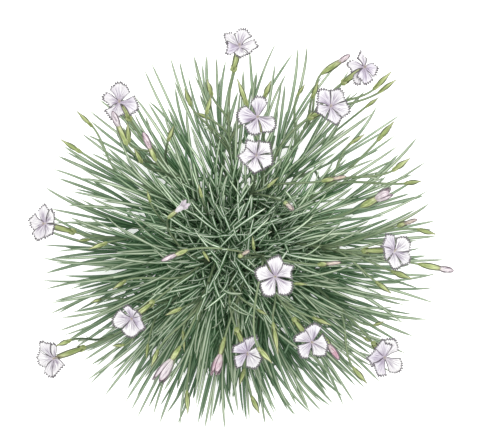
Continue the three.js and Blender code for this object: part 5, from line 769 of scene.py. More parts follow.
def leaf_material():
    s = Surface("waxy_leaf", Specular_IOR_Level=0.35)
    own, along, across, light = s.tint()
    off = s.math("ABSOLUTE", s.math("MULTIPLY_ADD", across, 2.0, -1.0))
    place = s.place()
    veins = s.noise(s.spot(s.math("MULTIPLY", across, 9.0), s.math("MULTIPLY", along, 2.2), s.math("MULTIPLY", own, 61.0)), 1.6, 2.0)
    mottle = s.noise(place, 150.0, 3.0)
    broad = s.noise(place, 22.0, 2.0)
    # the waxy bloom is thin on the young leaves at the cushion's heart, so they are the deepest green; painted light
    # also lightens them there, against the shade between the close leaves
    away = s.node("ShaderNodeVectorMath", operation="DISTANCE")
    s.feed(away.inputs[0], place)
    away.inputs[1].default_value = (HEART[0] * MM, HEART[1] * MM, 0.03)
    heart = s.fade(away.outputs["Value"], 0.092, 0.028)
    outer = s.fade(away.outputs["Value"], 0.068, 0.12)
    # painted shade: the deeper a leaf lies under the others (tint A), the darker its colour
    base = s.ramp(light, [(0.0, lin(66, 107, 75)), (0.3, lin(104, 142, 108)), (0.62, lin(148, 170, 140)), (1.0, lin(174, 188, 162))])
    base = s.mix(s.fade(own, 0.0, 1.0, 0.0, 0.5), base, lin(184, 196, 174))
    base = s.mix(s.math("MULTIPLY", s.fade(s.math("FRACT", s.math("MULTIPLY", own, 7.3)), 0.45, 1.0), 0.35), base, lin(132, 160, 112))
    # more painted shade deep inside the cushion
    base = s.mix(s.fade(light, 0.5, 0.0, 0.0, 0.7), base, lin(58, 103, 71))
    base = s.mix(s.math("MULTIPLY", heart, 0.72), base, lin(98, 148, 102))
    # painted light: paler towards the cushion's margin
    base = s.mix(s.math("MULTIPLY", outer, 0.34), base, lin(190, 197, 178))
    base = s.mix(0.30, base, s.ramp(veins, [(0.3, lin(60, 92, 58)), (0.7, lin(178, 198, 166))]), "OVERLAY")
    base = s.mix(0.16, base, s.ramp(mottle, [(0.3, lin(84, 112, 76)), (0.7, lin(170, 186, 160))]), "SOFT_LIGHT")
    base = s.mix(s.fade(broad, 0.35, 0.7, 0.0, 0.25), base, lin(122, 152, 122))
    # dark edges, a pale groove over the midrib that fades deeper down as painted shade, dry tip
    groove = s.math("MULTIPLY", s.fade(off, 0.38, 0.12), s.fade(light, 0.1, 0.75, 0.1, 0.95))
    base = s.mix(s.math("MULTIPLY", groove, s.fade(heart, 0.0, 0.7, 0.5, 1.0)), base, lin(236, 244, 228))
    base = s.mix(s.fade(along, 0.955, 1.0, 0.0, 0.6), base, lin(150, 146, 100))
    # painted light: lighter at the back and the right, where the light comes from, darker in front and on the left;
    # greyer at the cushion's margin and, as painted light, lighter there; painted light lifts the heart too
    axes = s.node("ShaderNodeSeparateXYZ")
    s.feed(axes.inputs[0], place)
    front = s.math("MULTIPLY_ADD", axes.outputs[0], -0.42, s.math("MULTIPLY_ADD", axes.outputs[1], -0.91, -0.0228))
    lift = s.mix(s.fade(front, -0.06, 0.032), (1.66, 1.62, 1.66, 1), (0.9, 0.885, 0.9, 1))
    lift = s.mix(s.fade(away.outputs["Value"], 0.06, 0.115, 0.0, 0.8), lift, (1.25, 1.18, 1.23, 1))
    lift = s.mix(heart, lift, (1.38, 1.38, 1.36, 1))
    base = s.mix(1.0, base, lift, "MULTIPLY", clamp_result=True)
    base = s.mix(s.math("MULTIPLY", s.fade(along, 0.62, 0.95, 0.0, 0.6), outer), base, lin(104, 126, 96))
    edge = s.mix(outer, lin(52, 82, 54), lin(70, 92, 64))
    base = s.mix(s.math("MULTIPLY", s.fade(off, 0.46, 0.82), 0.86), base, edge)
    s.colour(base)
    s.rough(s.fade(veins, 0.2, 0.8, 0.46, 0.66))
    s.bump(s.math("ADD", s.math("MULTIPLY", veins, 0.7), s.math("MULTIPLY", mottle, 0.3)), 0.35, 0.0003)
    return s.material


def stem_material():
    s = Surface("green_stem", Specular_IOR_Level=0.35)
    own, along, across, light = s.tint()
    place = s.place()
    lines = s.noise(s.spot(s.math("MULTIPLY", across, 14.0), s.math("MULTIPLY", along, 3.0), s.math("MULTIPLY", own, 43.0)), 2.0, 2.0)
    mottle = s.noise(place, 240.0, 3.0)
    # painted shade: the deeper the stem lies under the leaves (tint A), the darker its colour
    base = s.ramp(light, [(0.0, lin(80, 108, 76)), (0.4, lin(108, 132, 94)), (1.0, lin(128, 146, 108))])
    base = s.mix(s.fade(along, 0.0, 0.14, 0.75, 0.0), base, lin(98, 92, 70))
    base = s.mix(s.fade(lines, 0.35, 0.75, 0.0, 0.4), base, lin(168, 184, 156))
    base = s.mix(s.fade(lines, 0.52, 0.25, 0.0, 0.5), base, lin(74, 96, 62))
    base = s.mix(s.fade(mottle, 0.5, 0.8, 0.0, 0.35), base, lin(120, 104, 86))
    # painted shade where the surface turns down and sideways
    base = s.mix(s.math("MULTIPLY", s.turned(0.74, 0.36), 0.85), base, lin(58, 76, 52))
    s.colour(base)
    s.rough(s.fade(mottle, 0.2, 0.8, 0.42, 0.62))
    s.bump(lines, 0.4, 0.0002)
    return s.material


def calyx_material():
    s = Surface("ribbed_calyx", Specular_IOR_Level=0.35)
    own, along, across, light = s.tint()
    ribs = s.math("SINE", s.math("MULTIPLY", across, 2 * math.pi * 20))
    grain = s.noise(s.spot(s.math("MULTIPLY", across, 40.0), s.math("MULTIPLY", along, 5.0), s.math("MULTIPLY", own, 31.0)), 1.5, 3.0)
    streaks = s.noise(s.spot(s.math("MULTIPLY", across, 11.0), s.math("MULTIPLY", along, 1.4), s.math("MULTIPLY", own, 19.0)), 1.5, 2.0)
    spots = s.noise(s.place(), 420.0, 3.0)
    base = s.ramp(along, [(0.0, lin(120, 136, 90)), (0.25, lin(150, 165, 100)), (0.65, lin(172, 182, 124)), (0.88, lin(198, 200, 160)), (1.0, lin(158, 156, 124))])
    base = s.mix(s.fade(own, 0.2, 1.0, 0.0, 0.4), base, lin(134, 154, 90))
    base = s.mix(s.fade(ribs, 0.2, 1.0, 0.0, 0.5), base, lin(96, 118, 56))
    base = s.mix(s.fade(grain, 0.35, 0.75, 0.0, 0.4), base, lin(214, 222, 164))
    base = s.mix(s.fade(streaks, 0.5, 0.62, 0.0, 0.6), base, lin(104, 124, 62))
    base = s.mix(s.fade(streaks, 0.46, 0.34, 0.0, 0.6), base, lin(216, 224, 168))
    base = s.mix(s.fade(spots, 0.62, 0.8, 0.0, 0.3), base, lin(128, 116, 80))
    base = s.mix(s.math("MULTIPLY", s.fade(along, 0.86, 1.0), s.fade(own, 0.1, 0.9, 0.1, 0.4)), base, lin(140, 118, 98))
    # painted shade from tint A: along the flanks, deeper in the hollow mouth and under the leaves
    base = s.mix(s.fade(light, 0.85, 0.15, 0.0, 0.92), base, lin(66, 74, 50))
    s.colour(base)
    s.rough(s.fade(grain, 0.2, 0.8, 0.42, 0.6))
    s.bump(s.math("ADD", s.math("MULTIPLY", ribs, 0.35), grain), 0.5, 0.0002)
    return s.material


def petal_material():
    s = Surface("fringed_petal", Specular_IOR_Level=0.25, Sheen_Weight=0.15, Sheen_Roughness=0.5)
    own, along, across, front = s.tint()
    off = s.math("ABSOLUTE", s.math("MULTIPLY_ADD", across, 2.0, -1.0))
    # streaks run out from the throat, close together there and apart at the end
    fan = s.spot(s.math("MULTIPLY", across, 15.0), s.math("MULTIPLY", along, 1.1), s.math("MULTIPLY", own, 53.0))
    streak = s.noise(fan, 1.25, 2.0, 0.55)
    fine = s.noise(s.spot(s.math("MULTIPLY", across, 44.0), s.math("MULTIPLY", along, 1.6), s.math("MULTIPLY", own, 17.0)), 1.1, 1.0)
    cloud = s.noise(s.place(), 130.0, 3.0)
    wash = s.math("MULTIPLY", s.fade(front, 1.0, 0.65), s.fade(front, 0.3, 0.6))
    base = s.mix(s.fade(cloud, 0.3, 0.75, 0.0, 0.7), lin(230, 230, 228), lin(204, 200, 204))
    lilac = s.math("MULTIPLY", s.math("MULTIPLY", wash, s.fade(along, 1.0, 0.3, 0.35, 1.0)), s.fade(streak, 0.36, 0.62, 0.35, 1.0))
    base = s.mix(lilac, base, lin(168, 153, 186))
    base = s.mix(s.math("MULTIPLY", s.fade(along, 0.42, 0.08), s.fade(cloud, 0.25, 0.7, 0.35, 0.85)), base, lin(178, 166, 184))
    reach = s.math("ADD", along, s.math("MULTIPLY", s.math("SUBTRACT", cloud, 0.5), 0.35))
    shown = s.math("MULTIPLY", s.fade(streak, 0.46, 0.58), s.math("MULTIPLY", s.fade(reach, 0.95, 0.35), s.fade(along, 0.03, 0.12)))
    base = s.mix(s.math("MULTIPLY", shown, 0.9), base, lin(126, 112, 134))
    veins = s.math("MULTIPLY", s.fade(fine, 0.56, 0.70), s.fade(along, 0.98, 0.25, 0.12, 0.55))
    base = s.mix(veins, base, lin(146, 134, 152))
    # the eye, the back, the fringe's thin mauve outline
    base = s.mix(s.fade(along, 0.065, 0.02, 0.0, 0.85), base, lin(168, 162, 128))
    base = s.mix(s.fade(front, 0.6, 0.3, 0.0, 0.5), base, lin(226, 220, 222))
    rim = s.math("MAXIMUM", s.fade(along, 0.885, 0.915), s.math("MULTIPLY", s.fade(off, 0.895, 0.925), s.fade(along, 0.04, 0.16)))
    base = s.mix(s.math("MULTIPLY", rim, s.fade(cloud, 0.2, 0.7, 1.0, 0.85)), base, lin(74, 68, 74))
    s.colour(base)
    s.rough(s.fade(fine, 0.2, 0.8, 0.55, 0.72))
    s.bump(s.math("ADD", fine, s.math("MULTIPLY", streak, 0.6)), 0.4, 0.00025)
    return s.material


def bud_petal_material():
    s = Surface("rolled_petal", Specular_IOR_Level=0.3, Sheen_Weight=0.15, Sheen_Roughness=0.5)
    own, along, across, light = s.tint()
    lines = s.noise(s.spot(s.math("MULTIPLY", across, 10.0), s.math("MULTIPLY", along, 1.6), s.math("MULTIPLY", own, 47.0)), 1.4, 2.0)
    cloud = s.noise(s.place(), 300.0, 2.0)
    base = s.ramp(along, [(0.0, lin(214, 208, 196)), (0.3, lin(224, 216, 218)), (0.8, lin(220, 211, 215)), (1.0, lin(190, 172, 178))])
    pink = s.fade(own, 0.08, 0.36)
    base = s.mix(s.math("MULTIPLY", pink, s.fade(own, 0.4, 0.6, 0.7, 0.3)), base, lin(222, 190, 202))
    base = s.mix(s.fade(own, 0.4, 1.0, 0.0, 0.8), base, lin(212, 198, 168))
    base = s.mix(s.fade(lines, 0.45, 0.56, 0.0, 0.85), base, s.mix(s.fade(own, 0.42, 0.6), s.mix(pink, lin(150, 138, 150), lin(176, 116, 138)), lin(176, 158, 134)))
    base = s.mix(s.fade(cloud, 0.45, 0.75, 0.0, 0.5), base, lin(224, 216, 218))
    rim = s.math("MAXIMUM", s.fade(along, 0.93, 0.97), s.fade(s.math("ABSOLUTE", s.math("MULTIPLY_ADD", across, 2.0, -1.0)), 0.68, 0.78))
    base = s.mix(s.math("MULTIPLY", rim, 0.92), base, lin(70, 52, 62))
    # painted shade from tint A: along the flanks and in the lines between the folds
    base = s.mix(s.fade(light, 0.8, 0.15, 0.0, 0.9), base, lin(84, 68, 78))
    base = s.mix(s.math("MULTIPLY", s.fade(own, 0.02, 0.0), 0.6), base, lin(236, 230, 236))
    s.colour(base)
    s.rough(s.fade(cloud, 0.2, 0.8, 0.5, 0.68))
    s.bump(lines, 0.4, 0.0002)
    return s.material


def bark_material():
    s = Surface("woody_base", Specular_IOR_Level=0.3)
    own, along, across, light = s.tint()
    place = s.place()
    ridges = s.noise(s.spot(s.math("MULTIPLY", across, 26.0), s.math("MULTIPLY", along, 3.5), own), 1.3, 5.0, 0.65)
    flakes = s.noise(place, 500.0, 4.0, 0.6)
    base = s.ramp(ridges, [(0.3, lin(58, 52, 42)), (0.5, lin(100, 92, 76)), (0.68, lin(148, 140, 122))])
    base = s.mix(s.fade(flakes, 0.45, 0.75, 0.0, 0.55), base, lin(168, 162, 146))
    # painted shade from tint A
    base = s.mix(s.fade(light, 0.9, 0.2, 0.0, 0.45), base, lin(60, 62, 38))
    s.colour(base)
    s.rough(s.fade(flakes, 0.2, 0.8, 0.75, 0.95))
    s.bump(s.math("ADD", ridges, s.math("MULTIPLY", flakes, 0.4)), 0.8, 0.0008)
    return s.material


def anther_material():
    s = Surface("pollen", Specular_IOR_Level=0.2)
    own, along, across, light = s.tint()
    grain = s.noise(s.place(), 1800.0, 2.0)
    s.colour(s.mix(s.fade(grain, 0.3, 0.7), s.mix(own, lin(186, 174, 146), lin(160, 146, 164)), lin(206, 196, 178)))
    s.rough(s.fade(grain, 0.2, 0.8, 0.7, 0.9))
    s.bump(grain, 0.5, 0.0001)
    return s.material


HEART = arr((-11.0, -20.0, 0.0))  # where the leaves stand closest, in front of the cushion's middle
LEAF, STEM, CALYX, PETAL, ROLLED, BARK, POLLEN = (
    leaf_material(),
    stem_material(),
    calyx_material(),
    petal_material(),
    bud_petal_material(),
    bark_material(),
    anther_material(),
)

EYE = arr((-2.0, 5.667, 1600.0))  # where the camera stands


def from_above(p):
    """Where points seem to lie on the ground, for someone above the plant."""
    return EYE[:2] + (p[..., :2] - EYE[:2]) * (EYE[2] / (EYE[2] - p[..., 2:]))


def face_normal(azimuth, tilt):
    a, t = math.radians(azimuth), math.radians(tilt)
    return arr((math.sin(t) * math.cos(a), math.sin(t) * math.sin(a), math.cos(t)))


# ---------------------------------------------------------------- leaves
PLAN = arr((131.5, 124.5))
LEAF_SECTION = arr([(1, 0.36), (0, 0.0), (-1, 0.36), (-0.55, -0.12), (0, -0.34), (0.55, -0.12)])
LEAF_WIDTHS = curve_of([0, 0.06, 0.2, 0.45, 0.7, 0.86, 0.95, 1.0], [0.62, 0.66, 0.86, 1.0, 0.95, 0.78, 0.5, 0.06])
leaves = []  # every leaf's line, width and so on, before the meshes are made


def rho(p):
    return np.hypot(p[..., 0] / PLAN[0], p[..., 1] / PLAN[1])


def leaf_line(foot, first, last, length, droop, bend, stations=11):
    """A leaf's midline: it leaves along first and ends along last, sags by droop and bends sideways."""
    t = np.linspace(0, 1, stations) ** 0.92
    d0, d1 = unit(first), unit(last)
    aside = np.cross(d1, (0, 0, 1.0))
    aside = aside / max(np.linalg.norm(aside), 0.2)
    T = t[:, None]
    p = foot + length * (d0 * (T - 0.5 * T**2) + d1 * (0.5 * T**2)) + aside * (bend * length * T**2)
    p[:, 2] -= droop * length * t**2
    low = 0.55
    z = p[:, 2]
    p[:, 2] = np.where(z < low + 2, low + 2 * np.exp((np.minimum(z, low + 2) - low - 2) / 2), z)
    return p


SHARES = ([0, 45, 90, 135, 180, 225, 270, 315, 360], [0.26, 0.15, 0.12, 0.19, 0.58, 1.0, 0.82, 0.78, 0.26])


REACH = (
    [0, 30, 60, 90, 105, 120, 150, 180, 195, 225, 240, 255, 270, 300, 330, 360],
    [0.97, 0.98, 1.0, 0.97, 0.93, 0.98, 0.99, 1.03, 1.08, 1.11, 1.10, 1.03, 0.99, 1.03, 1.04, 0.97],
)  # how far the longest leaves come, as a share of PLAN


def reach_at(p):
    return np.interp(math.degrees(math.atan2(p[1], p[0])) % 360, *REACH)


def fullness(p):
    """How thickly the cushion is grown at a place in plan: thin at the back and the right."""
    a = math.degrees(math.atan2(p[1], p[0])) % 360
    w = np.interp(a, *SHARES)
    d = math.hypot(p[0] - HEART[0], p[1] - HEART[1])
    return mixed(1.0, w, smooth((d - 24) / 40))


def tuft_tips():
    """Leaf rosettes: one at the end of every twig, and side shoots that branch off below it."""
    tips = []
    for node, twig, axis in TWIGS:
        twig = arr(twig)
        flat = twig[-1] - HEART
        flat[2] = 0
        level = math.hypot(axis[0], axis[1])
        way = mixed(arr((axis[0], axis[1], 0)), unit(flat) * level, 0.45)
        tips.append((node, twig, unit(way + arr((0, 0, axis[2]))), 1.0))
    have = [t[1][-1] for t in tips]
    mains = list(tips)
    for turn in range(4):
        for node, twig, axis, _ in mains:
            centre = twig[-1]
            full = fullness(centre)
            wide = math.hypot(centre[0], centre[1])
            want = mixed(2.2, 0.15 + 1.1 * full, smooth((wide - 28) / 26))
            if turn + rng.random() > want:
                continue
            best = None
            s, l = across_of(axis)
            for _ in range(14):
                a = rng.uniform(0, 2 * np.pi)
                away = s * np.cos(a) + l * np.sin(a)
                d = rng.uniform(6, 16)
                c = centre + away * d + axis * rng.uniform(-9, 3)
                r = math.hypot(c[0], c[1])
                if r > 74 or c[2] < 5:
                    continue
                near = min(np.linalg.norm(c - h) for h in have)
                if best is None or near > best[0]:
                    best = (near, c, unit(axis + away * 0.3 + (0, 0, 0.05)))
            if best is None:
                continue
            _, c, ax = best
            have.append(c)
            line = through(twig, 21)
            q = int(rng.uniform(0.35, 0.7) * 20)
            start = line[q]
            out = unit(line[min(q + 1, 20)] - line[q - 1])
            span = np.linalg.norm(c - start)
            side = bezier((start, start + out * span * 0.35, c - ax * span * 0.4, c), np.linspace(0, 1, 6))
            tips.append((node, side, ax, 0.92))
    return tips


# How far out the leaves hide all, three quarters, half, a quarter and none of the ground from above, at every 45 degrees
# of azimuth from +X.
THINNING = arr([
    (53, 81, 98, 120, 146),
    (27, 64, 80, 128, 146),
    (20, 48, 86, 113, 146),
    (50, 81, 101, 125, 146),
    (78, 99, 119, 132, 146),
    (95, 114, 127, 134, 146),
    (97, 108, 115, 122, 142),
    (80, 110, 124, 133, 146),
])
hidden = np.zeros((340, 340), bool)  # squares of one millimetre
shares = np.zeros((43, 43))  # how many squares of each eight by eight are hidden


def wanted(flat):
    a = np.degrees(np.arctan2(flat[:, 1], flat[:, 0])) % 360 / 45
    i = a.astype(int) % 8
    ends = mixed(THINNING[i], THINNING[(i + 1) % 8], (a - np.floor(a))[:, None])
    r = np.hypot(flat[:, 0], flat[:, 1])[:, None]
    return 1 - np.clip((r - ends[:, :-1]) / np.diff(ends, axis=1), 0, 1).sum(1) / 4


def crowding(line):
    """How far the ground along a leaf is hidden already, beyond what is wanted there."""
    flat = from_above(through(line, 31)[6:])
    cell = np.clip(((flat + 170) / 8).astype(int), 0, 42)
    return np.mean(np.clip(shares[cell[:, 0], cell[:, 1]] / 64 - wanted(flat), -0.5, 1) * (wanted(flat) < 0.97))


def cast(line, width):
    """Marks the squares that a leaf hides."""
    flat = from_above(through(line, 160))
    side = np.gradient(flat, axis=0)
    side = unit(np.stack([-side[:, 1], side[:, 0]], -1)) * LEAF_WIDTHS(np.linspace(0, 1, 160))[:, None] * width * 0.4
    for sign in (-1, 0, 1):
        cell = np.clip((flat + side * sign + 170).astype(int), 0, 339)
        cell = np.unique(cell[~hidden[cell[:, 0], cell[:, 1]]], axis=0)
        hidden[cell[:, 0], cell[:, 1]] = True
        np.add.at(shares, (cell[:, 0] // 8, cell[:, 1] // 8), 1)


def grow_rosette(tip):
    node, twig, axis, size = tip
    centre = twig[-1]
    r = math.hypot(centre[0], centre[1])
    s, l = across_of(axis, (0.2, 0.1, 1))
    turn = rng.uniform(0, np.pi)
    full = fullness(centre)
    outer = smooth((r - 28) / 22)
    # the light draws every leaf outwards from the cushion's heart
    flat = arr((centre[0] - HEART[0], centre[1] - HEART[1], 0))
    pull = 0.72 * smooth((np.linalg.norm(flat) - 3) / 30)
    arch = mixed(1.75, 1.0, smooth((r - 14) / 34))
    # pairs of leaves, each a quarter turn from the last: height below the tip, spread, length
    pairs = [(0.4, 5, 0.42), (-0.6, 12, 0.84), (-2.4, 21, 1.0), (-4.8, 30, 0.98), (-7.6, 38, 0.86)]
    for k, (back, spread, share) in enumerate(pairs):
        turn += np.pi / 2 + rng.normal(0, 0.22)
        for half in (0, np.pi):
            best = None
            for tries in range(12):
                a = turn + half + rng.normal(0, 0.16)
                w = math.radians(np.clip(spread * arch + rng.normal(0, 6), 3, 66))
                away = s * np.cos(a) * mixed(1.0, 0.72, smooth((r - 20) / 30)) + l * np.sin(a)
                first = axis * math.cos(w * 0.55) + away * math.sin(w * 0.55)
                last = axis * math.cos(w * 1.35) + away * math.sin(w * 1.35)
                level = math.hypot(last[0], last[1])
                stray = rng.normal(0, 0.24)
                ray = unit(flat) * math.cos(stray) + unit(np.cross((0, 0, 1), flat)) * math.sin(stray)
                last = unit(mixed(last, ray * max(level, 0.3) + (0, 0, last[2]), pull))
                if r > 55:  # the outermost leaves lie down onto the surface rather than under it
                    last[2] = max(last[2], -0.12)
                foot = centre + axis * back * size + away * 0.7
                level = math.hypot(last[0], last[1])
                droop = rng.uniform(0.03, 0.18) * level
                bend = rng.normal(0, 0.04 if r > 35 else 0.08)
                length = rng.uniform(46, 76) * mixed(1, share, 0.7) * size
                if rng.random() < outer:  # its point ends somewhere in the cushion's airy margin
                    target = reach_at(foot) * (0.60 + 0.43 * rng.random() ** mixed(1.1, 0.75, full))
                    for _ in range(5):
                        line = leaf_line(foot, first, last, length, droop, bend)
                        out = rho(line[-1]) - rho(foot)
                        length *= np.clip(1 + (target - rho(line[-1])) / max(out, 0.1), 0.7, 1.4)
                    length = min(length, 100)
                line = leaf_line(foot, first, last, length, droop, bend)
                if rho(line[-1]) > reach_at(line[-1]) + 0.03 or length < 36 or line[-1][0] < -138:
                    continue
                if over_flower(through(line, 31)):
                    continue
                crowd = crowding(line)
                if best is None or crowd < best[0]:
                    best = (crowd, line, away)
                if crowd <= 0 and tries > 2:
                    break
            if best is None or best[0] > (0.05 if k == 0 else 0.0):
                continue
            crowd, line, away = best
            width = mixed(rng.uniform(1.6, 2.25), rng.uniform(1.6, 2.4), outer) * (0.85 if k == 0 else 1.0)
            lying = unit(axis * 0.55 + (0, 0, 0.85)) if r > 25 else unit(-away * 0.8 + (0, 0, 0.5))
            leaves.append((node, line, width, lying, rng.normal(0, 0.22), rng.random()))
            cast(line, width)
        yield


def shown_parts():
    """Points of the buds, the calyces and the stems' last stretch, with how wide each is."""
    spots = []
    for number, kind, base, tip, mid in BUDS:
        base, tip = arr(base), arr(tip)
        path = bezier(STEMS[LEADING[number]], np.linspace(0, 1, 60)) if number in LEADING else None
        for branch in BRANCHES:
            if branch[0] == number:
                path = bezier(branch[3], np.linspace(0, 1, 40))
        near = path[np.linalg.norm(path - base, axis=1) < 15]
        spots += [(*p, 1.0) for p in near] + [(*mixed(base, tip, q), 3.4 if kind == "h" and q > mid else 1.9) for q in np.linspace(0, 1, 14)]
    for throat, base, *_ in FLOWERS:
        spots += [(*mixed(arr(base), arr(throat), q), 1.9) for q in np.linspace(-0.4, 1, 14)]
    return arr(spots)


SHOWN = shown_parts()
watched = np.zeros((360, 360), bool)  # squares of one millimetre where a leaf might hide something
_gx, _gy = np.meshgrid(np.arange(360) - 179.5, np.arange(360) - 179.5, indexing="ij")
for _spot, _r in [(q[:3], q[3] + 2.2) for q in SHOWN[::2]] + [(arr(f[0]), f[2] + 3.5) for f in FLOWERS]:
    _flat = from_above(_spot)
    watched |= np.hypot(_gx - _flat[0], _gy - _flat[1]) < _r * 1.1


def over_flower(line):
    """Whether any part of a line hides a flower, a bud or the end of a stem from above."""
    cell = np.clip((from_above(line) + 180).astype(int), 0, 359)
    if not watched[cell[:, 0], cell[:, 1]].any():
        return False
    around = ((SHOWN[:, :2] > line[:, :2].min(0) - 9) & (SHOWN[:, :2] < line[:, :2].max(0) + 9)).all(1) & (SHOWN[:, 2] < line[:, 2].max())
    spots = SHOWN[around]
    k = (EYE[2] - line[:, None, 2]) / (EYE[2] - spots[None, :, 2])
    flat = EYE[:2] + (line[:, None, :2] - EYE[:2]) / k[..., None] - spots[None, :, :2]
    if ((np.hypot(flat[..., 0], flat[..., 1]) < spots[None, :, 3] + 0.9) & (line[:, None, 2] > spots[None, :, 2])).any():
        return True
    for throat, _, radius, azimuth, tilt, _ in FLOWERS:
        throat = arr(throat)
        k = (EYE[2] - line[:, 2:]) / (EYE[2] - throat[2])
        flat = EYE[:2] + (line[:, :2] - EYE[:2]) / k - throat[:2]
        close = np.hypot(flat[:, 0], flat[:, 1]) < radius + 1.0
        n = face_normal(azimuth, tilt)
        face = throat[2] - (n[0] * flat[:, 0] + n[1] * flat[:, 1]) / n[2]
        if (close & (line[:, 2] > face - 1.0)).any():
            return True
    return False


TIPS = tuft_tips()
growing = [grow_rosette(tip) for tip in TIPS]
for pair in range(5):  # the young pairs of all rosettes first
    for rosette in growing:
        next(rosette, None)
# Older pairs of leaves sit lower on the shoots and twigs, in the shade.
lower = []
for node, path, n, a0, a1 in [(q[0], q[1], 4, 0.2, 0.88) for q in TIPS] + [(q, arr(m), 8, 0.08, 1.0) for q, m in SHOOTS.items()]:
    line = through(path, 21)
    turn = rng.uniform(0, np.pi)
    for q in np.linspace(a0, a1, n):
        i = int(q * 20)
        axis = unit(line[min(i + 1, 20)] - line[max(i - 1, 0)])
        s, l = across_of(axis, (0.2, 0.1, 1))
        turn += np.pi / 2 + rng.normal(0, 0.2)
        for half in (0, np.pi):
            foot = line[i]
            r = math.hypot(foot[0], foot[1])
            if rng.random() > mixed(0.9, 0.22 + 0.6 * fullness(foot), smooth((r - 25) / 30)):
                continue
            a = turn + half
            w = math.radians(rng.uniform(32, 62))
            out = s * math.cos(a) + l * math.sin(a)
            first = axis * math.cos(w * 0.6) + out * math.sin(w * 0.6)
            last = axis * math.cos(w * 1.3) + out * math.sin(w * 1.3)
            last[2] = np.clip(last[2], -0.25, 0.5)
            blade_line = leaf_line(foot + out * 0.6, first, last, rng.uniform(30, 48) * mixed(0.6, 1.0, smooth((r - 12) / 16)), rng.uniform(0.05, 0.2), rng.normal(0, 0.06), 8)
            if rho(blade_line[-1]) < 0.86 and crowding(blade_line) <= 0.02 and not over_flower(through(blade_line, 25)):
                lower.append((node, blade_line, rng.uniform(1.7, 2.4), unit(axis * 0.4 + (0, 0, 0.9)), rng.normal(0, 0.2), rng.random()))
                cast(blade_line, 2.0)

# How deep a point lies under the leaves around it, from the leaves' own lines, and the painted light that follows from
# it: 1 on top, painted shade deeper down.
CELL = 7.0
_all = np.concatenate([line for _, line, *_ in leaves])
_n = 44


def _cell(p):
    return np.clip(((p[..., :2] + CELL * _n / 2) / CELL).astype(int), 1, _n - 2)


_top = np.zeros((_n, _n))
_at = _cell(_all)
for _i in range(_n):
    for _j in range(_n):
        near = (abs(_at[:, 0] - _i) <= 1) & (abs(_at[:, 1] - _j) <= 1)
        if near.sum() > 12:
            _top[_i, _j] = np.percentile(_all[near, 2], 88)
_count = np.zeros((_n, _n))
np.add.at(_count, (_at[:, 0], _at[:, 1]), 1)


def painted_light_at(p):
    p = np.asarray(p, float)
    x = (p[..., 0] + CELL * _n / 2) / CELL - 0.5
    y = (p[..., 1] + CELL * _n / 2) / CELL - 0.5
    i, j = np.clip(np.floor(x).astype(int), 0, _n - 2), np.clip(np.floor(y).astype(int), 0, _n - 2)
    fx, fy = np.clip(x - i, 0, 1), np.clip(y - j, 0, 1)
    top = (_top[i, j] * (1 - fx) + _top[i + 1, j] * fx) * (1 - fy) + (_top[i, j + 1] * (1 - fx) + _top[i + 1, j + 1] * fx) * fy
    depth = np.maximum(top - p[..., 2] - 2, 0)
    return np.exp(-depth / 26.0)


def add_leaf(piece, line, width, lying, twist, own, material, light=None):
    t = np.linspace(0, 1, len(line)) ** 0.92
    tan = unit(np.gradient(line, axis=0))
    side = np.cross(lying, tan)
    flat = np.linalg.norm(side, axis=1)
    if flat.min() < 0.15:
        _, side, _ = frames(line, lying)
    side = unit(side)
    lift = np.cross(tan, side)
    a = (twist * t)[:, None]
    side, lift = side * np.cos(a) + lift * np.sin(a), lift * np.cos(a) - side * np.sin(a)
    w = width / 2 * LEAF_WIDTHS(t)
    sec = LEAF_SECTION[None] * w[:, None, None]
    sec = sec * arr([1, 1])
    pts = line[:, None] + side[:, None] * sec[..., :1] + lift[:, None] * sec[..., 1:]
    pts[..., 2] = np.maximum(pts[..., 2], 0.12)
    n, m = pts.shape[:2]
    tint = np.empty((n, m, 4))
    tint[..., 0] = own
    tint[..., 1] = t[:, None]
    tint[..., 2] = (LEAF_SECTION[:, 0] + 1) / 2
    tint[..., 3] = painted_light_at(pts) if light is None else light
    piece.rings(pts, tint, material, close=(True, False), tip=True)


def along_tint(path, sides, own, scale=1.0, light=None, start=0.0):
    n = len(path)
    tint = np.empty((n, sides, 4))
    tint[..., 0] = own
    tint[..., 1] = (start + (1 - start) * np.linspace(0, 1, n))[:, None] * scale
    tint[..., 2] = np.linspace(0, 1, sides, endpoint=False)
    tint[..., 3] = (painted_light_at(path) if light is None else light)[:, None] if np.ndim(light) != 0 or light is None else light
    return tint


tufts = {}
carriers = {}  # the shoots' and twigs' middle lines, each point with its radius
for node, main in SHOOTS.items():
    piece = tufts[node] = Piece("shoot_" + node[-2:])
    path = through(main, 26)
    back = path[0] - unit(path[1] - path[0]) * 2.5
    path = np.vstack([back, path])
    t = np.linspace(0, 1, len(path))
    radius = mixed(1.7, 1.0, t) + 1.5 * np.exp(-t * 16) + 0.22 * np.exp(-(((t * 9) % 1 - 0.5) / 0.12) ** 2)
    tint = along_tint(path, 10, 0.3)
    tint[..., 1] *= 0.55  # its lower half is woody
    piece.tube(path, radius, tint, 1, sides=10)
    carriers[node] = [through(np.column_stack([path, radius]), 200)]
for node, twig, axis, size in TIPS:
    piece = tufts[node]
    path = through(twig, 14)
    path = np.vstack([path, path[-1] + unit(axis) * 1.6])
    t = np.linspace(0, 1, len(path))
    radius = mixed(0.95, 0.72, t) * size + 0.3 * np.exp(-(((t * 5) % 1 - 0.5) / 0.14) ** 2) * (t < 0.9)
    tint = along_tint(path, 7, rng.random(), start=0.1)
    piece.tube(path, radius, tint, 1, sides=7)
    carriers[node].append(through(np.column_stack([path, radius]), 120))
for node, line, width, lying, twist, own in leaves + lower:
    # where a twig bends away from a leaf's foot, the foot is drawn on to the twig's middle
    spots = np.concatenate(carriers[node])
    apart = np.linalg.norm(spots[:, :3] - line[0], axis=1) - spots[:, 3]
    k = int(apart.argmin())
    if apart[k] > 0.05:
        line = np.vstack([spots[k, :3], line])
    add_leaf(tufts[node], line, width, lying, twist, own, 0)


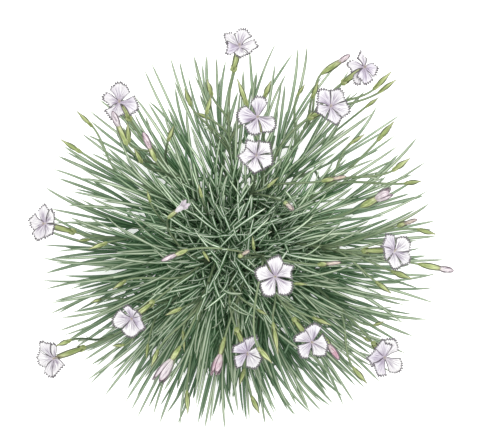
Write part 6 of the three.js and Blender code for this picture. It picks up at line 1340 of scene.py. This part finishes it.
# ---------------------------------------------------------------- calyces and buds
def bract(piece, foot, axis, out, length, width, lean, own, material, hug=0.0):
    """A small pointed scale or bract that stands at lean radians from the axis."""
    n, m = 9, 5
    v = np.linspace(0, 1, n)
    u = np.linspace(-1, 1, m)
    wide = np.cross(axis, out)
    angle = lean * (1 - hug * v)
    step = np.stack([np.sin(angle), np.cos(angle)], 1) * length / (n - 1)
    run = np.concatenate([[[0, 0]], np.cumsum(step[:-1], 0)])
    line = foot + out * run[:, :1] + axis * run[:, 1:]
    w = width / 2 * np.interp(v, [0, 0.25, 0.6, 0.9, 1], [0.7, 1, 0.75, 0.25, 0.05])
    P = line[:, None] + wide * (w[:, None] * u)[..., None] + (-out) * (0.35 * w[:, None] * u**2)[..., None]
    tint = np.empty((n, m, 4))
    tint[..., 0] = own
    tint[..., 1] = v[:, None]
    tint[..., 2] = (u + 1) / 2
    tint[..., 3] = painted_light_at(P)
    # the skins face out and in
    piece.sheet(P[:, ::-1], 0.22, tint[:, ::-1], material)


def painted_flank_shade(axis, around, radius):
    """Painted shade: 0 in a narrow line along the two flanks of a bud, where its surface turns sideways from the light
    above, 1 on its back, a little less below.
    """
    up = arr((0, 0, 1.0)) - axis * axis[2]
    up = up / max(np.linalg.norm(up), 0.2)
    c = around @ up
    c0 = math.sqrt(1 - (1 - min(0.72 / radius, 0.36)) ** 2) - 0.08
    return np.maximum(smooth((c - c0) / 0.2), 0.8 * smooth((0.1 - c) / 0.2))


def ribbed(piece, foot, axis, heights, radii, own, material, sides=40, ribs=20, depth=0.05, teeth=0.0, inner=None):
    """A turned tube with fine ribs. teeth is the height of its five points at the mouth; inner the
    depth of the hollow mouth, or None for a closed tip."""
    s, l = across_of(axis)
    a = np.linspace(0, 2 * np.pi, sides, endpoint=False)
    points = np.abs(((a / (2 * np.pi) * 5 + 0.5) % 1) - 0.5) * 2  # 1 at a tooth's point, 0 in a notch
    total = heights[-1]
    rows, tint = [], []
    for h, r in zip(heights, radii):
        share = h / total
        rr = r * (1 + depth / max(r, 0.3) * np.cos(a * ribs) * np.sin(np.pi * min(share * 1.05, 1)) ** 0.5)
        hh = h + teeth * (points - 0.5) * smooth((share - 0.72) / 0.28)
        rr = rr * (1 - 0.10 * points * smooth((share - 0.72) / 0.28) * (teeth > 0))
        rows.append(foot + axis * hh[:, None] + (s * np.cos(a)[:, None] + l * np.sin(a)[:, None]) * rr[:, None])
        tint.append(np.stack([np.full(sides, own), np.full(sides, share), a / (2 * np.pi), np.full(sides, 1.0)], 1))
    if inner is not None:
        for k, (h, shrink) in enumerate([(0.0, 0.82), (-0.8, 0.80), (-inner, 0.72)]):
            hh = total + h + teeth * (points - 0.5) * (1 if k == 0 else 0.5 if k == 1 else 0)
            rr = radii[-1] * shrink * np.ones(sides)
            rows.append(foot + axis * hh[:, None] + (s * np.cos(a)[:, None] + l * np.sin(a)[:, None]) * rr[:, None])
            # painted shade, darker deeper in the hollow mouth
            tint.append(np.stack([np.full(sides, own), np.full(sides, 0.9 - 0.3 * k), a / (2 * np.pi), np.full(sides, 0.7 - 0.25 * k)], 1))
    rows, tint = arr(rows), arr(tint)
    # painted shade along the flanks
    tint[..., 3] *= painted_flank_shade(axis, s * np.cos(a)[:, None] + l * np.sin(a)[:, None], max(radii))
    piece.rings(rows, tint, material, close=(True, True), tip=inner is None)


def scales(piece, foot, axis, radius, length, own, material, count=4):
    s, l = across_of(axis)
    for k in range(count):
        a = k * np.pi / 2 + 0.4
        out = s * math.cos(a) + l * math.sin(a)
        up = 0.25 if k % 2 else 0.9
        bract(piece, foot + axis * up + out * radius * 0.72, axis, out, length * (1 if k % 2 else 0.85), radius * 1.9, 0.42, own, material, hug=1.35)


def rolled(piece, foot, axis, length, radius, own, material, turns=1.0):
    """The rolled petals that stand out of an opening bud: a spindle with spiral folds."""
    n, m = 16, 24
    s, l = across_of(axis)
    v = np.linspace(0, 1, n)
    a = np.linspace(0, 2 * np.pi, m, endpoint=False)
    base = np.interp(v, [0, 0.15, 0.4, 0.68, 0.86, 0.96, 1], [min(1.12, radius * 0.8), 0.86 * radius, 1.02 * radius, 0.94 * radius, 0.62 * radius, 0.3 * radius, 0.04])
    turned = (a[None] / (2 * np.pi) * 3 + v[:, None] * turns) % 1
    fold = turned**1.5
    r = base[:, None] * (0.86 + 0.22 * fold)
    P = foot + axis * (v * length)[:, None, None] + (s * np.cos(a)[:, None] + l * np.sin(a)[:, None])[None] * r[..., None]
    around = s * np.cos(a)[:, None] + l * np.sin(a)[:, None]
    # tint A: painted shade along the flanks, and in dark lines where the folds overlap
    tint = np.stack([np.full((n, m), own), np.broadcast_to(v[:, None], (n, m)), 0.17 + fold * 0.36 + a[None] / (2 * np.pi) * 0.3, painted_flank_shade(axis, around, radius)[None] * (1 - 0.7 * (turned > 0.85))], -1)
    piece.rings(P, tint, material, close=(True, False), tip=True)


SPINDLES = {5: 1.45, 6: 1.7, 20: 1.85, 21: 1.55, 23: 2.1, 34: 2.2, 25: 2.0, 47: 2.1}  # the thickest parts, where they are not 1.85
ROLLS = {1: 2.3, 3: 2.2, 17: 2.0, 28: 1.4, 29: 1.7, 31: 1.5, 33: 2.2, 36: 1.45, 39: 1.35, 43: 2.3, 54: 1.8}
CUPS = {17: 2.3, 30: 2.7, 60: 2.3, 33: 2.2, 14: 1.85}  # the thickest parts of opening buds' calyces, where they are not 2.05
TONES = {28: 0.8, 29: 0.7, 31: 0.7, 36: 0.75, 39: 0.9, 1: 0.03, 3: 0.2, 17: 0.17, 33: 0.06, 43: 0.3, 54: 0.17, 14: 0.0, 30: 0.15, 60: 0.1, 66: 0.24}  # 0 white, 0.4 pink, from there on cream
TULIPS = {14: (2.0, 1.9), 30: (3.9, 0.92), 60: (4.4, 0.95), 66: (3.7, 0.85)}  # radius, and how wide the mouth is beside it


def tulip(piece, foot, axis, length, radius, mouth, material, own):
    """Five broad overlapping petals that have only begun to part."""
    n, m = 14, 17
    s, l = across_of(axis)
    v = np.linspace(0, 1, n)
    u = np.linspace(-1, 1, m)
    shape = np.interp(v, [0, 0.12, 0.35, 0.6, 0.85, 1], [1.1 / radius, 0.52, 0.84, 1.0, mixed(0.94, mouth, 0.6), mouth * 0.92])
    for k in range(5):
        middle = 2 * np.pi * k / 5 + rng.normal(0, 0.1)
        inner = 0.0 if k % 2 else 0.34
        reach = length * rng.uniform(0.88, 1.02)
        wide = 0.84 * np.interp(v, [0, 0.3, 0.7, 0.9, 1], [1, 0.92, 0.86, 0.66, 0.34])
        a = middle + u[None] * wide[:, None] + 0.25 * v[:, None]
        r = radius * shape[:, None] * (1 - 0.10 * u[None] ** 2) - inner * v[:, None] + 0.05 * np.cos(u[None] * 9 + k) * v[:, None]
        teeth = np.where(np.arange(m) % 2 == 0, -0.35, 0.15) * smooth((v[:, None] - 0.8) / 0.2)
        h = v[:, None] * reach + teeth - 0.10 * reach * u[None] ** 2 * v[:, None] ** 3
        P = foot + axis * h[..., None] + (s * np.cos(a)[..., None] + l * np.sin(a)[..., None]) * r[..., None]
        tint = np.empty((n, m, 4))
        tint[..., 0] = own
        tint[..., 1] = v[:, None]
        tint[..., 2] = (u + 1) / 2
        # painted shade along the flanks of a narrow bud; none on the inner skin
        tint[..., 3] = 1.0 if mouth > 1.2 else painted_flank_shade(axis, s * np.cos(a)[..., None] + l * np.sin(a)[..., None], radius)
        inside = tint.copy()  # no outline on the inner skin
        inside[1:-1, 1:-1, 3] = 1.0
        inside[1:-1, 1:-1, 1:3] *= (0.92, 0.7)
        inside[1:-1, 1:-1, 2] += 0.15
        piece.sheet(P[:, ::-1], 0.2, inside[:, ::-1], material, tint[:, ::-1])


def add_bud(piece, number, kind, base, tip, mid, mats):
    base, tip = arr(base), arr(tip)
    L = np.linalg.norm(tip - base)
    axis = (tip - base) / L
    own = rng.random()
    calyx, petal = mats
    if kind in "gs":
        R = SPINDLES.get(number, 1.85) if kind == "g" else 1.35
        R *= rng.uniform(0.95, 1.05)
        v = np.linspace(0, 1, 18)
        r = R * curve_of([0, 0.1, 0.22, 0.36, 0.48, 0.62, 0.76, 0.88, 1.0], [0.34, 0.4, 0.62, 0.94, 1.0, 0.82, 0.46, 0.27, 0.14])(v)
        ribbed(piece, base, axis, v * L, r, own, calyx, sides=30, ribs=15, depth=0.035)
        scales(piece, base, axis, R * 0.55, L * 0.32, own, calyx)
        return
    m = mid * L
    v = np.linspace(0, 1, 14)
    r = CUPS.get(number, 2.05) * curve_of([0, 0.06, 0.25, 0.5, 0.8, 1.0], [0.32, 0.46, 0.8, 1.0, 0.9, 0.77])(v)
    ribbed(piece, base, axis, v * m, r, own, calyx, sides=40, teeth=2.0, inner=1.6)
    scales(piece, base, axis, 1.1, m * 0.38, own, calyx)
    if kind == "p":
        rolled(piece, base + axis * (m - 1.4), axis, L - m + 1.8, ROLLS[number], TONES.get(number, own * 0.4), petal, turns=rng.uniform(0.5, 1.2))
        return
    tulip(piece, base + axis * (m - 1.6), axis, L - m + 2.2, *TULIPS[number], petal, TONES[number])


# ---------------------------------------------------------------- stems
stalks = {}
LOOK = {"flower": "stalk_", "bud": "budstalk_"}


def stem_path(node, n=40):
    return bezier(STEMS[node], np.linspace(0, 1, n))


def stem_leaves(piece, path, t, length, width, own, lean=0.42):
    """A pair of narrow leaves at a swollen joint of a stem."""
    q = t * (len(path) - 1)
    i = min(int(q), len(path) - 2)
    p = mixed(path[i], path[i + 1], q - i)
    axis = unit(path[i + 1] - path[i])
    s, l = across_of(axis)
    a0 = rng.uniform(0, np.pi)
    for half in (0, np.pi):
        a = a0 + half
        out = s * math.cos(a) + l * math.sin(a)
        w = lean * rng.uniform(0.7, 1.35)
        first = axis * math.cos(w * 0.6) + out * math.sin(w * 0.6)
        last = axis * math.cos(w * 1.5) + out * math.sin(w * 1.5)
        ln = length * rng.uniform(0.85, 1.15)
        line = leaf_line(p + out * 0.5, first, last, ln, 0.04, rng.normal(0, 0.05), 9)
        if over_flower(line[3:]):
            continue
        add_leaf(piece, line, width, unit(axis * 0.4 - out * 0.9), 0.1, rng.random(), 1)


for node in STEMS:
    kind, _, number = node.partition("_stem_")
    piece = stalks[node] = Piece(LOOK[kind] + number)
    path = stem_path(node)
    span = np.linalg.norm(np.diff(path, axis=0), axis=1).sum()
    start = path[0] - unit(path[1] - path[0]) * 2
    full = np.vstack([start, path])
    t = np.linspace(0, 1, len(full))
    joints = (0.17, 0.36, 0.56, 0.76) if span > 90 else (0.2, 0.45, 0.7)
    radius = mixed(1.12, 0.76, t) + 0.5 * np.exp(-t * 26)
    for q in joints:
        radius = radius + 0.34 * np.exp(-(((t - q) * span) / 1.5) ** 2)
    fine = np.linspace(0, 1, 120)
    full = through(full, 120)
    radius = np.interp(fine, t, radius)
    for q in joints:
        radius = np.maximum(radius, np.interp(fine, [0, 1], [1.12, 0.76]) + 0.36 * np.exp(-(((fine - q) * span) / 1.4) ** 2))
    piece.tube(full, radius, along_tint(full, 10, rng.random()), 0, sides=10)
    for q, ln, wd in zip(joints, (34, 24, 15, 8), (2.0, 1.9, 1.7, 1.4)):
        stem_leaves(piece, path, q, ln, wd, rng.random(), 0.5 if ln > 20 else 0.36)

by_id = {b[0]: b for b in BUDS}
for number, node, t, route in BRANCHES:
    piece = stalks[node]
    route = arr(route)
    straight = arr([mixed(route[0], route[3], q) for q in (0, 1 / 3, 2 / 3, 1)])
    route[1:3] = mixed(route[1:3], straight[1:3], 0.4)
    path = bezier(route, np.linspace(0, 1, 22))
    start = path[0] - unit(path[1] - path[0]) * 0.4
    path = np.vstack([start, path, path[-1] + unit(path[-1] - path[-2]) * 0.8])
    q = np.linspace(0, 1, len(path))
    radius = mixed(0.84, 0.7, q) + 0.3 * np.exp(-q * 20)
    span = np.linalg.norm(np.diff(path, axis=0), axis=1).sum()
    if span > 26:
        radius = radius + 0.26 * np.exp(-(((q - 0.55) * span) / 1.3) ** 2)
        stem_leaves(piece, path, 0.55, 9, 1.5, rng.random(), 0.34)
    piece.tube(path, radius, along_tint(path, 8, rng.random(), start=0.35), 0, sides=8)
    # the bracts under the fork
    stem = stem_path(node)
    i = min(int(t * 39), 38)
    axis = unit(stem[i + 1] - stem[i])
    away = path[6] - path[0]
    out = unit(away - axis * (away @ axis))
    for sign in (1, -1):
        bract(piece, stem[i] - axis * 0.9 + out * sign * 0.6, axis, out * sign, rng.uniform(5.5, 8.5), 2.0, 0.5, rng.random(), 0, hug=0.5)
    _, kind, base, tip, mid = by_id[number]
    add_bud(piece, number, kind, base, tip, mid, (2, 3))
for number, node in LEADING.items():
    _, kind, base, tip, mid = by_id[number]
    add_bud(stalks[node], number, kind, base, tip, mid, (2, 3))


# ---------------------------------------------------------------- open flowers
def seen_at(spots, throat, normal):
    """Places given as seen from above, at the throat's height, put onto the flower's sloping face."""
    x0, y0 = throat[0] + spots[..., 0], throat[1] + spots[..., 1]
    z = np.full(x0.shape, throat[2])
    for _ in range(4):
        k = (EYE[2] - z) / (EYE[2] - throat[2])
        x, y = EYE[0] + (x0 - EYE[0]) * k, EYE[1] + (y0 - EYE[1]) * k
        z = throat[2] - (normal[0] * (x - throat[0]) + normal[1] * (y - throat[1])) / normal[2]
    return np.stack([x, y, z], -1)


def even(points, n):
    """n places at even distances along a smooth line through points."""
    line = through(points, 24 * len(points))
    d = np.concatenate([[0], np.cumsum(np.linalg.norm(np.diff(line, axis=0), axis=1))])
    q = np.linspace(0, d[-1], n)
    return np.stack([np.interp(q, d, line[:, k]) for k in range(line.shape[1])], -1)


def corolla(piece, flower, number):
    throat, base, radius, azimuth, tilt, _ = flower
    eye, petals = PETALS[number - 1]
    throat, base, eye = arr(throat), arr(base), arr(eye)
    normal = face_normal(azimuth, tilt)
    axis = unit(throat - base)
    local = np.random.default_rng(900 + number)
    for wash, lift, soft, left, end, right in petals:
        # a thin petal between its two sides and its fringed end, with teeth of uneven depth on grid lines
        tips = [left[1], *end, right[0]]
        run = np.linalg.norm(np.diff(arr(tips), axis=0), axis=1).sum()
        teeth = max(4, int(round(run / 1.5)))
        nj, ni = 17, 3 * teeth + 1
        v = np.linspace(0, 1, nj) ** 0.9
        s = np.linspace(0, 1, ni)
        u = 2 * s - 1
        goal = (arr(left[1]) + arr(right[0])) / 2 - eye
        out2 = unit(arr(end[len(end) // 2]) + goal - eye)
        side2 = arr((out2[1], -out2[0])) * 0.5
        left, end, right = arr(left), arr(end), arr(right)
        grow = arr((out2[1], -out2[0])) * 0.62
        left, right = left - grow * arr([[0.7], [1]]), right + grow * arr([[1], [0.7]])
        tips = [left[1], *end, right[0]]
        A = even([eye - side2, *left], 60)[(v * 59).astype(int)]
        B = even([eye + side2, *right[::-1]], 60)[(v * 59).astype(int)]
        S = A[:, None] * (1 - s)[None, :, None] + B[:, None] * s[None, :, None]
        E = even(tips, ni)
        D = E - (arr(left[1]) * (1 - s)[:, None] + arr(right[0]) * s[:, None])
        flat = S + D[None] * (v**1.5)[:, None, None]
        ray = unit(E - eye)
        nc = 5
        depth = np.zeros(ni)
        depth[0::3] = local.uniform(-0.98, -0.55, teeth + 1)
        high = local.uniform(0.22, 0.58, teeth)
        depth[1::3], depth[2::3] = high, high * local.uniform(0.5, 1.0, teeth)
        depth[0] = depth[-1] = -0.1
        toothed = smooth((v - 0.72) / 0.28) ** 1.6
        flat = flat + ray[None] * (depth[None] * toothed[:, None])[..., None]
        blade_points = seen_at(flat, throat, normal)
        L = np.linalg.norm(blade_points[-1] - throat, axis=1).mean()
        X = np.linalg.norm(blade_points[:, -1] - blade_points[:, 0], axis=1)[:, None] / 2 * u[None]
        V = v[:, None]
        ruffle = 0.016 * np.sin(2 * np.pi * (1.5 * u + local.random())) + 0.010 * np.sin(2 * np.pi * (3.7 * u + local.random()))
        Z = L * (0.075 * np.sin(np.pi * V * 0.95) - local.uniform(0.0, 0.06) * V**2)
        Z = Z + L * ruffle * smooth((V - 0.35) / 0.65) * 1.3
        Z = Z + 0.09 * X * np.minimum(1, V * 1.6) + local.normal(0.03, 0.04) * X**2 / (0.45 * L) * smooth(V)
        Z = Z + 0.008 * L * np.cos(u * np.pi * 5 + local.normal(0, 1)) * smooth(V * 2) + lift * smooth(V * 1.5)
        blade_points = blade_points + normal * Z[..., None]
        # the claw goes down into the calyx
        first = blade_points[0]
        inward = blade_points[nj // 2].mean(0) - throat
        inward = unit(inward - axis * (inward @ axis))
        deep = throat - axis * 4.6
        claw = []
        for q in np.linspace(1, 0, nc + 1)[:-1]:
            centre = mixed(first.mean(0), deep + inward * 0.55, q)
            bowed = (first - first.mean(0)) * mixed(1.0, 0.45, q)
            claw.append(centre + bowed + inward * (0.25 * math.sin(math.pi * q)))
        P = np.concatenate([arr(claw), blade_points])
        # along and across run to 0.9 close to the end and the sides, so that every outline is about equally wide
        steps = np.linalg.norm(np.diff(blade_points[..., :2], axis=0), axis=2).mean(1)
        gap = np.concatenate([np.cumsum(steps[::-1])[::-1], [0]])
        along = np.where(gap < 1.2, 1 - gap / 1.2 * 0.1, 0.9 * (1 - (gap - 1.2) / (gap[0] - 1.2)))
        along = np.concatenate([np.zeros(nc), along])
        half = np.linalg.norm(flat[:, -1] - flat[:, 0], axis=1)[:, None] / 2
        inside = half * (1 - np.abs(u[None]))
        off = np.where(inside < 0.5, 1 - inside / 0.5 * 0.1, 0.9 * np.abs(u[None]) / np.maximum(1 - 0.5 / np.maximum(half, 0.55), 0.05))
        off = np.clip(off, 0, 1)
        if soft:
            off = np.where(u[None] * soft > 0, np.minimum(off, 0.86), off)
        across = np.sign(u)[None] * off
        across = np.concatenate([np.repeat(across[:1], nc, 0), across])
        tint = np.empty((len(P), ni, 4))
        tint[..., 0] = local.random()
        tint[..., 1] = along[:, None]
        tint[..., 2] = (across + 1) / 2
        tint[..., 3] = 1.0 - 0.35 * wash
        under = tint.copy()
        under[..., 3] = 0.0
        piece.sheet(P, 0.2, tint, 0, under)
    # stamens and the two curved styles in the eye
    s, l = across_of(normal)
    for k in range(7):
        a = 2 * np.pi * k / 7 + local.normal(0, 0.3)
        out = s * math.cos(a) + l * math.sin(a)
        h = local.uniform(0.6, 1.9)
        foot = throat - axis * 2.4 + out * 0.3
        tip = throat + normal * h + out * local.uniform(0.35, 0.8)
        line = bezier((foot, foot + axis * 1.4, tip - normal * 0.9, tip), np.linspace(0, 1, 7))
        tint = np.tile(arr([local.random(), 0.5, 0.5, 1.0]), (7, 5, 1))
        piece.tube(line, np.full(7, 0.09), tint, 1, sides=5)
        head = through([tip - normal * 0.34, tip, tip + normal * 0.36 + out * 0.1], 5)
        tint = np.tile(arr([local.random(), 0.8, 0.5, 1.0]), (5, 6, 1))
        piece.tube(head, arr([0.05, 0.2, 0.25, 0.2, 0.05]), tint, 1, sides=6)
    for sign in (1, -1):
        foot = throat - axis * 2.0 + s * sign * 0.12
        tip = throat + normal * 2.6 + s * sign * 1.5
        line = bezier((foot, foot + axis * 2.6, tip - normal * 0.4 - s * sign * 0.9, tip), np.linspace(0, 1, 9))
        tint = np.tile(arr([0.9, 0.5, 0.5, 1.0]), (9, 5, 1))
        piece.tube(line, np.linspace(0.13, 0.05, 9), tint, 1, sides=5)


for k, flower in enumerate(FLOWERS):
    number = f"{k + 1:02d}"
    throat, base = arr(flower[0]), arr(flower[1])
    axis = unit(throat - base)
    mouth = np.linalg.norm(throat - base) - 1.9
    cup = Piece("cup_" + number)
    v = np.linspace(0, 1, 20)
    r = curve_of([0, 0.06, 0.2, 0.42, 0.62, 0.85, 1.0], [0.8, 1.0, 1.5, 2.0, 2.1, 1.92, 1.8])(v)
    own = rng.random()
    ribbed(cup, base, axis, v * mouth, r, own, 0, sides=60, ribs=20, depth=0.055, teeth=3.2, inner=3.0)
    scales(cup, base, axis, 1.9, 5.6, own, 0)
    cup.build([CALYX], "calyx_" + number, "calyx")
    petals = Piece("corolla_" + number)
    corolla(petals, flower, k + 1)
    petals.build([PETAL, POLLEN], "petals_" + number, "petal")

for node, piece in tufts.items():
    piece.build([LEAF, STEM], node, "leaf")
for node, piece in stalks.items():
    piece.build([STEM, LEAF, CALYX, ROLLED], node, "stem")

# ---------------------------------------------------------------- the woody crown
crown = Piece("rootstock")
n, m = 30, 72
s = np.linspace(0, 1, n)
profile_r = curve_of([0, 0.12, 0.3, 0.5, 0.68, 0.84, 1.0], [10.4, 11.6, 12.9, 12.4, 9.6, 5.2, 0.6])(s)
profile_z = curve_of([0, 0.12, 0.3, 0.5, 0.68, 0.84, 1.0], [0.0, 2.0, 5.6, 10.4, 13.8, 15.6, 16.2])(s)
profile_z[0] = 0.0
a = np.linspace(0, 2 * np.pi, m, endpoint=False)
waves = np.zeros((n, m))
for k in range(26):
    f, g = rng.integers(2, 30), rng.uniform(0, 9)
    waves += rng.normal(0, 1) / (1 + f * 0.16) * np.cos(a[None] * f + rng.uniform(0, 6.3) + g * s[:, None])
waves *= 0.34 * np.sin(np.pi * np.clip(s * 0.9 + 0.06, 0, 1))[:, None]
R = np.clip(profile_r[:, None] + waves, 0.05, 13.4)
ring = np.stack([R * np.cos(a), R * np.sin(a), np.broadcast_to(profile_z[:, None], (n, m))], -1)
tint = np.stack([np.full((n, m), 0.4), np.broadcast_to(s[:, None], (n, m)), np.broadcast_to(a / (2 * np.pi), (n, m)), np.full((n, m), 0.8)], -1)
crown.rings(ring, tint, 0, close=(True, False), tip=True)
# old shoots that were cut back, between the living ones
for k in range(9):
    a0 = 2 * np.pi * (k + rng.uniform(0.2, 0.8)) / 9
    z0 = rng.uniform(4, 11)
    foot = arr((10.0 * math.cos(a0), 10.0 * math.sin(a0), z0))
    tip = foot + arr((math.cos(a0), math.sin(a0), rng.uniform(0.1, 0.7))) * rng.uniform(4.5, 6.5)
    line = through([foot, mixed(foot, tip, 0.5) + rng.normal(0, 0.3, 3), tip], 8)
    tint = np.tile(arr([rng.random(), 0.5, 0.5, 0.8]), (8, 9, 1))
    tint[..., 1] = np.linspace(0.2, 0.9, 8)[:, None]
    tint[..., 2] = np.linspace(0, 1, 9, endpoint=False)
    crown.tube(line, np.linspace(1.7, 1.15, 8) + rng.normal(0, 0.06, 8), tint, 0, sides=9)
crown.build([BARK], "woody_crown", "crown")

# ---------------------------------------------------------------- floor, light, camera
floor = bpy.data.meshes.new("floor")
half = 4.0
floor.from_pydata([(-half, -half, -0.0002), (half, -half, -0.0002), (half, half, -0.0002), (-half, half, -0.0002)], [], [(0, 1, 2, 3)])
floor_object = bpy.data.objects.new("floor", floor)
bpy.context.scene.collection.objects.link(floor_object)
pale = Surface("studio_floor", Roughness=0.9, Specular_IOR_Level=0.1)
pale.shader.inputs["Base Color"].default_value = (0.94, 0.94, 0.935, 1)
pale.shader.inputs["Emission Color"].default_value = (1.0, 1.0, 1.0, 1)
pale.shader.inputs["Emission Strength"].default_value = 0.42
floor.materials.append(pale.material)

world = bpy.data.worlds.new("studio")
bpy.context.scene.world = world
world.use_nodes = True
world.node_tree.nodes["Background"].inputs[0].default_value = (1.0, 1.0, 1.0, 1)
world.node_tree.nodes["Background"].inputs[1].default_value = 0.95


def area(name, place, size, power, aim=(0, 0, 0.05)):
    data = bpy.data.lights.new(name, "AREA")
    data.shape = "SQUARE"
    data.size = size
    data.energy = power
    o = bpy.data.objects.new(name, data)
    o.location = place
    d = arr(aim) - arr(place)
    o.rotation_mode = "QUATERNION"
    o.rotation_quaternion = Vector(d).to_track_quat("-Z", "Y")
    bpy.context.scene.collection.objects.link(o)


area("key", (0.35, 0.5, 1.95), 1.8, 24)
area("fill", (-0.8, -0.8, 1.7), 1.4, 6)

data = bpy.data.cameras.new("camera")
data.sensor_fit = "HORIZONTAL"
data.angle = 2 * math.atan(160 / 1600)
data.clip_start, data.clip_end = 0.05, 20
camera = bpy.data.objects.new("camera", data)
camera.location = (-0.002, 0.005667, 1.6)
camera.rotation_euler = (0, 0, 0)
bpy.context.scene.collection.objects.link(camera)
bpy.context.scene.camera = camera
bpy.context.scene.view_settings.view_transform = "Standard"

bpy.context.view_layer.update()
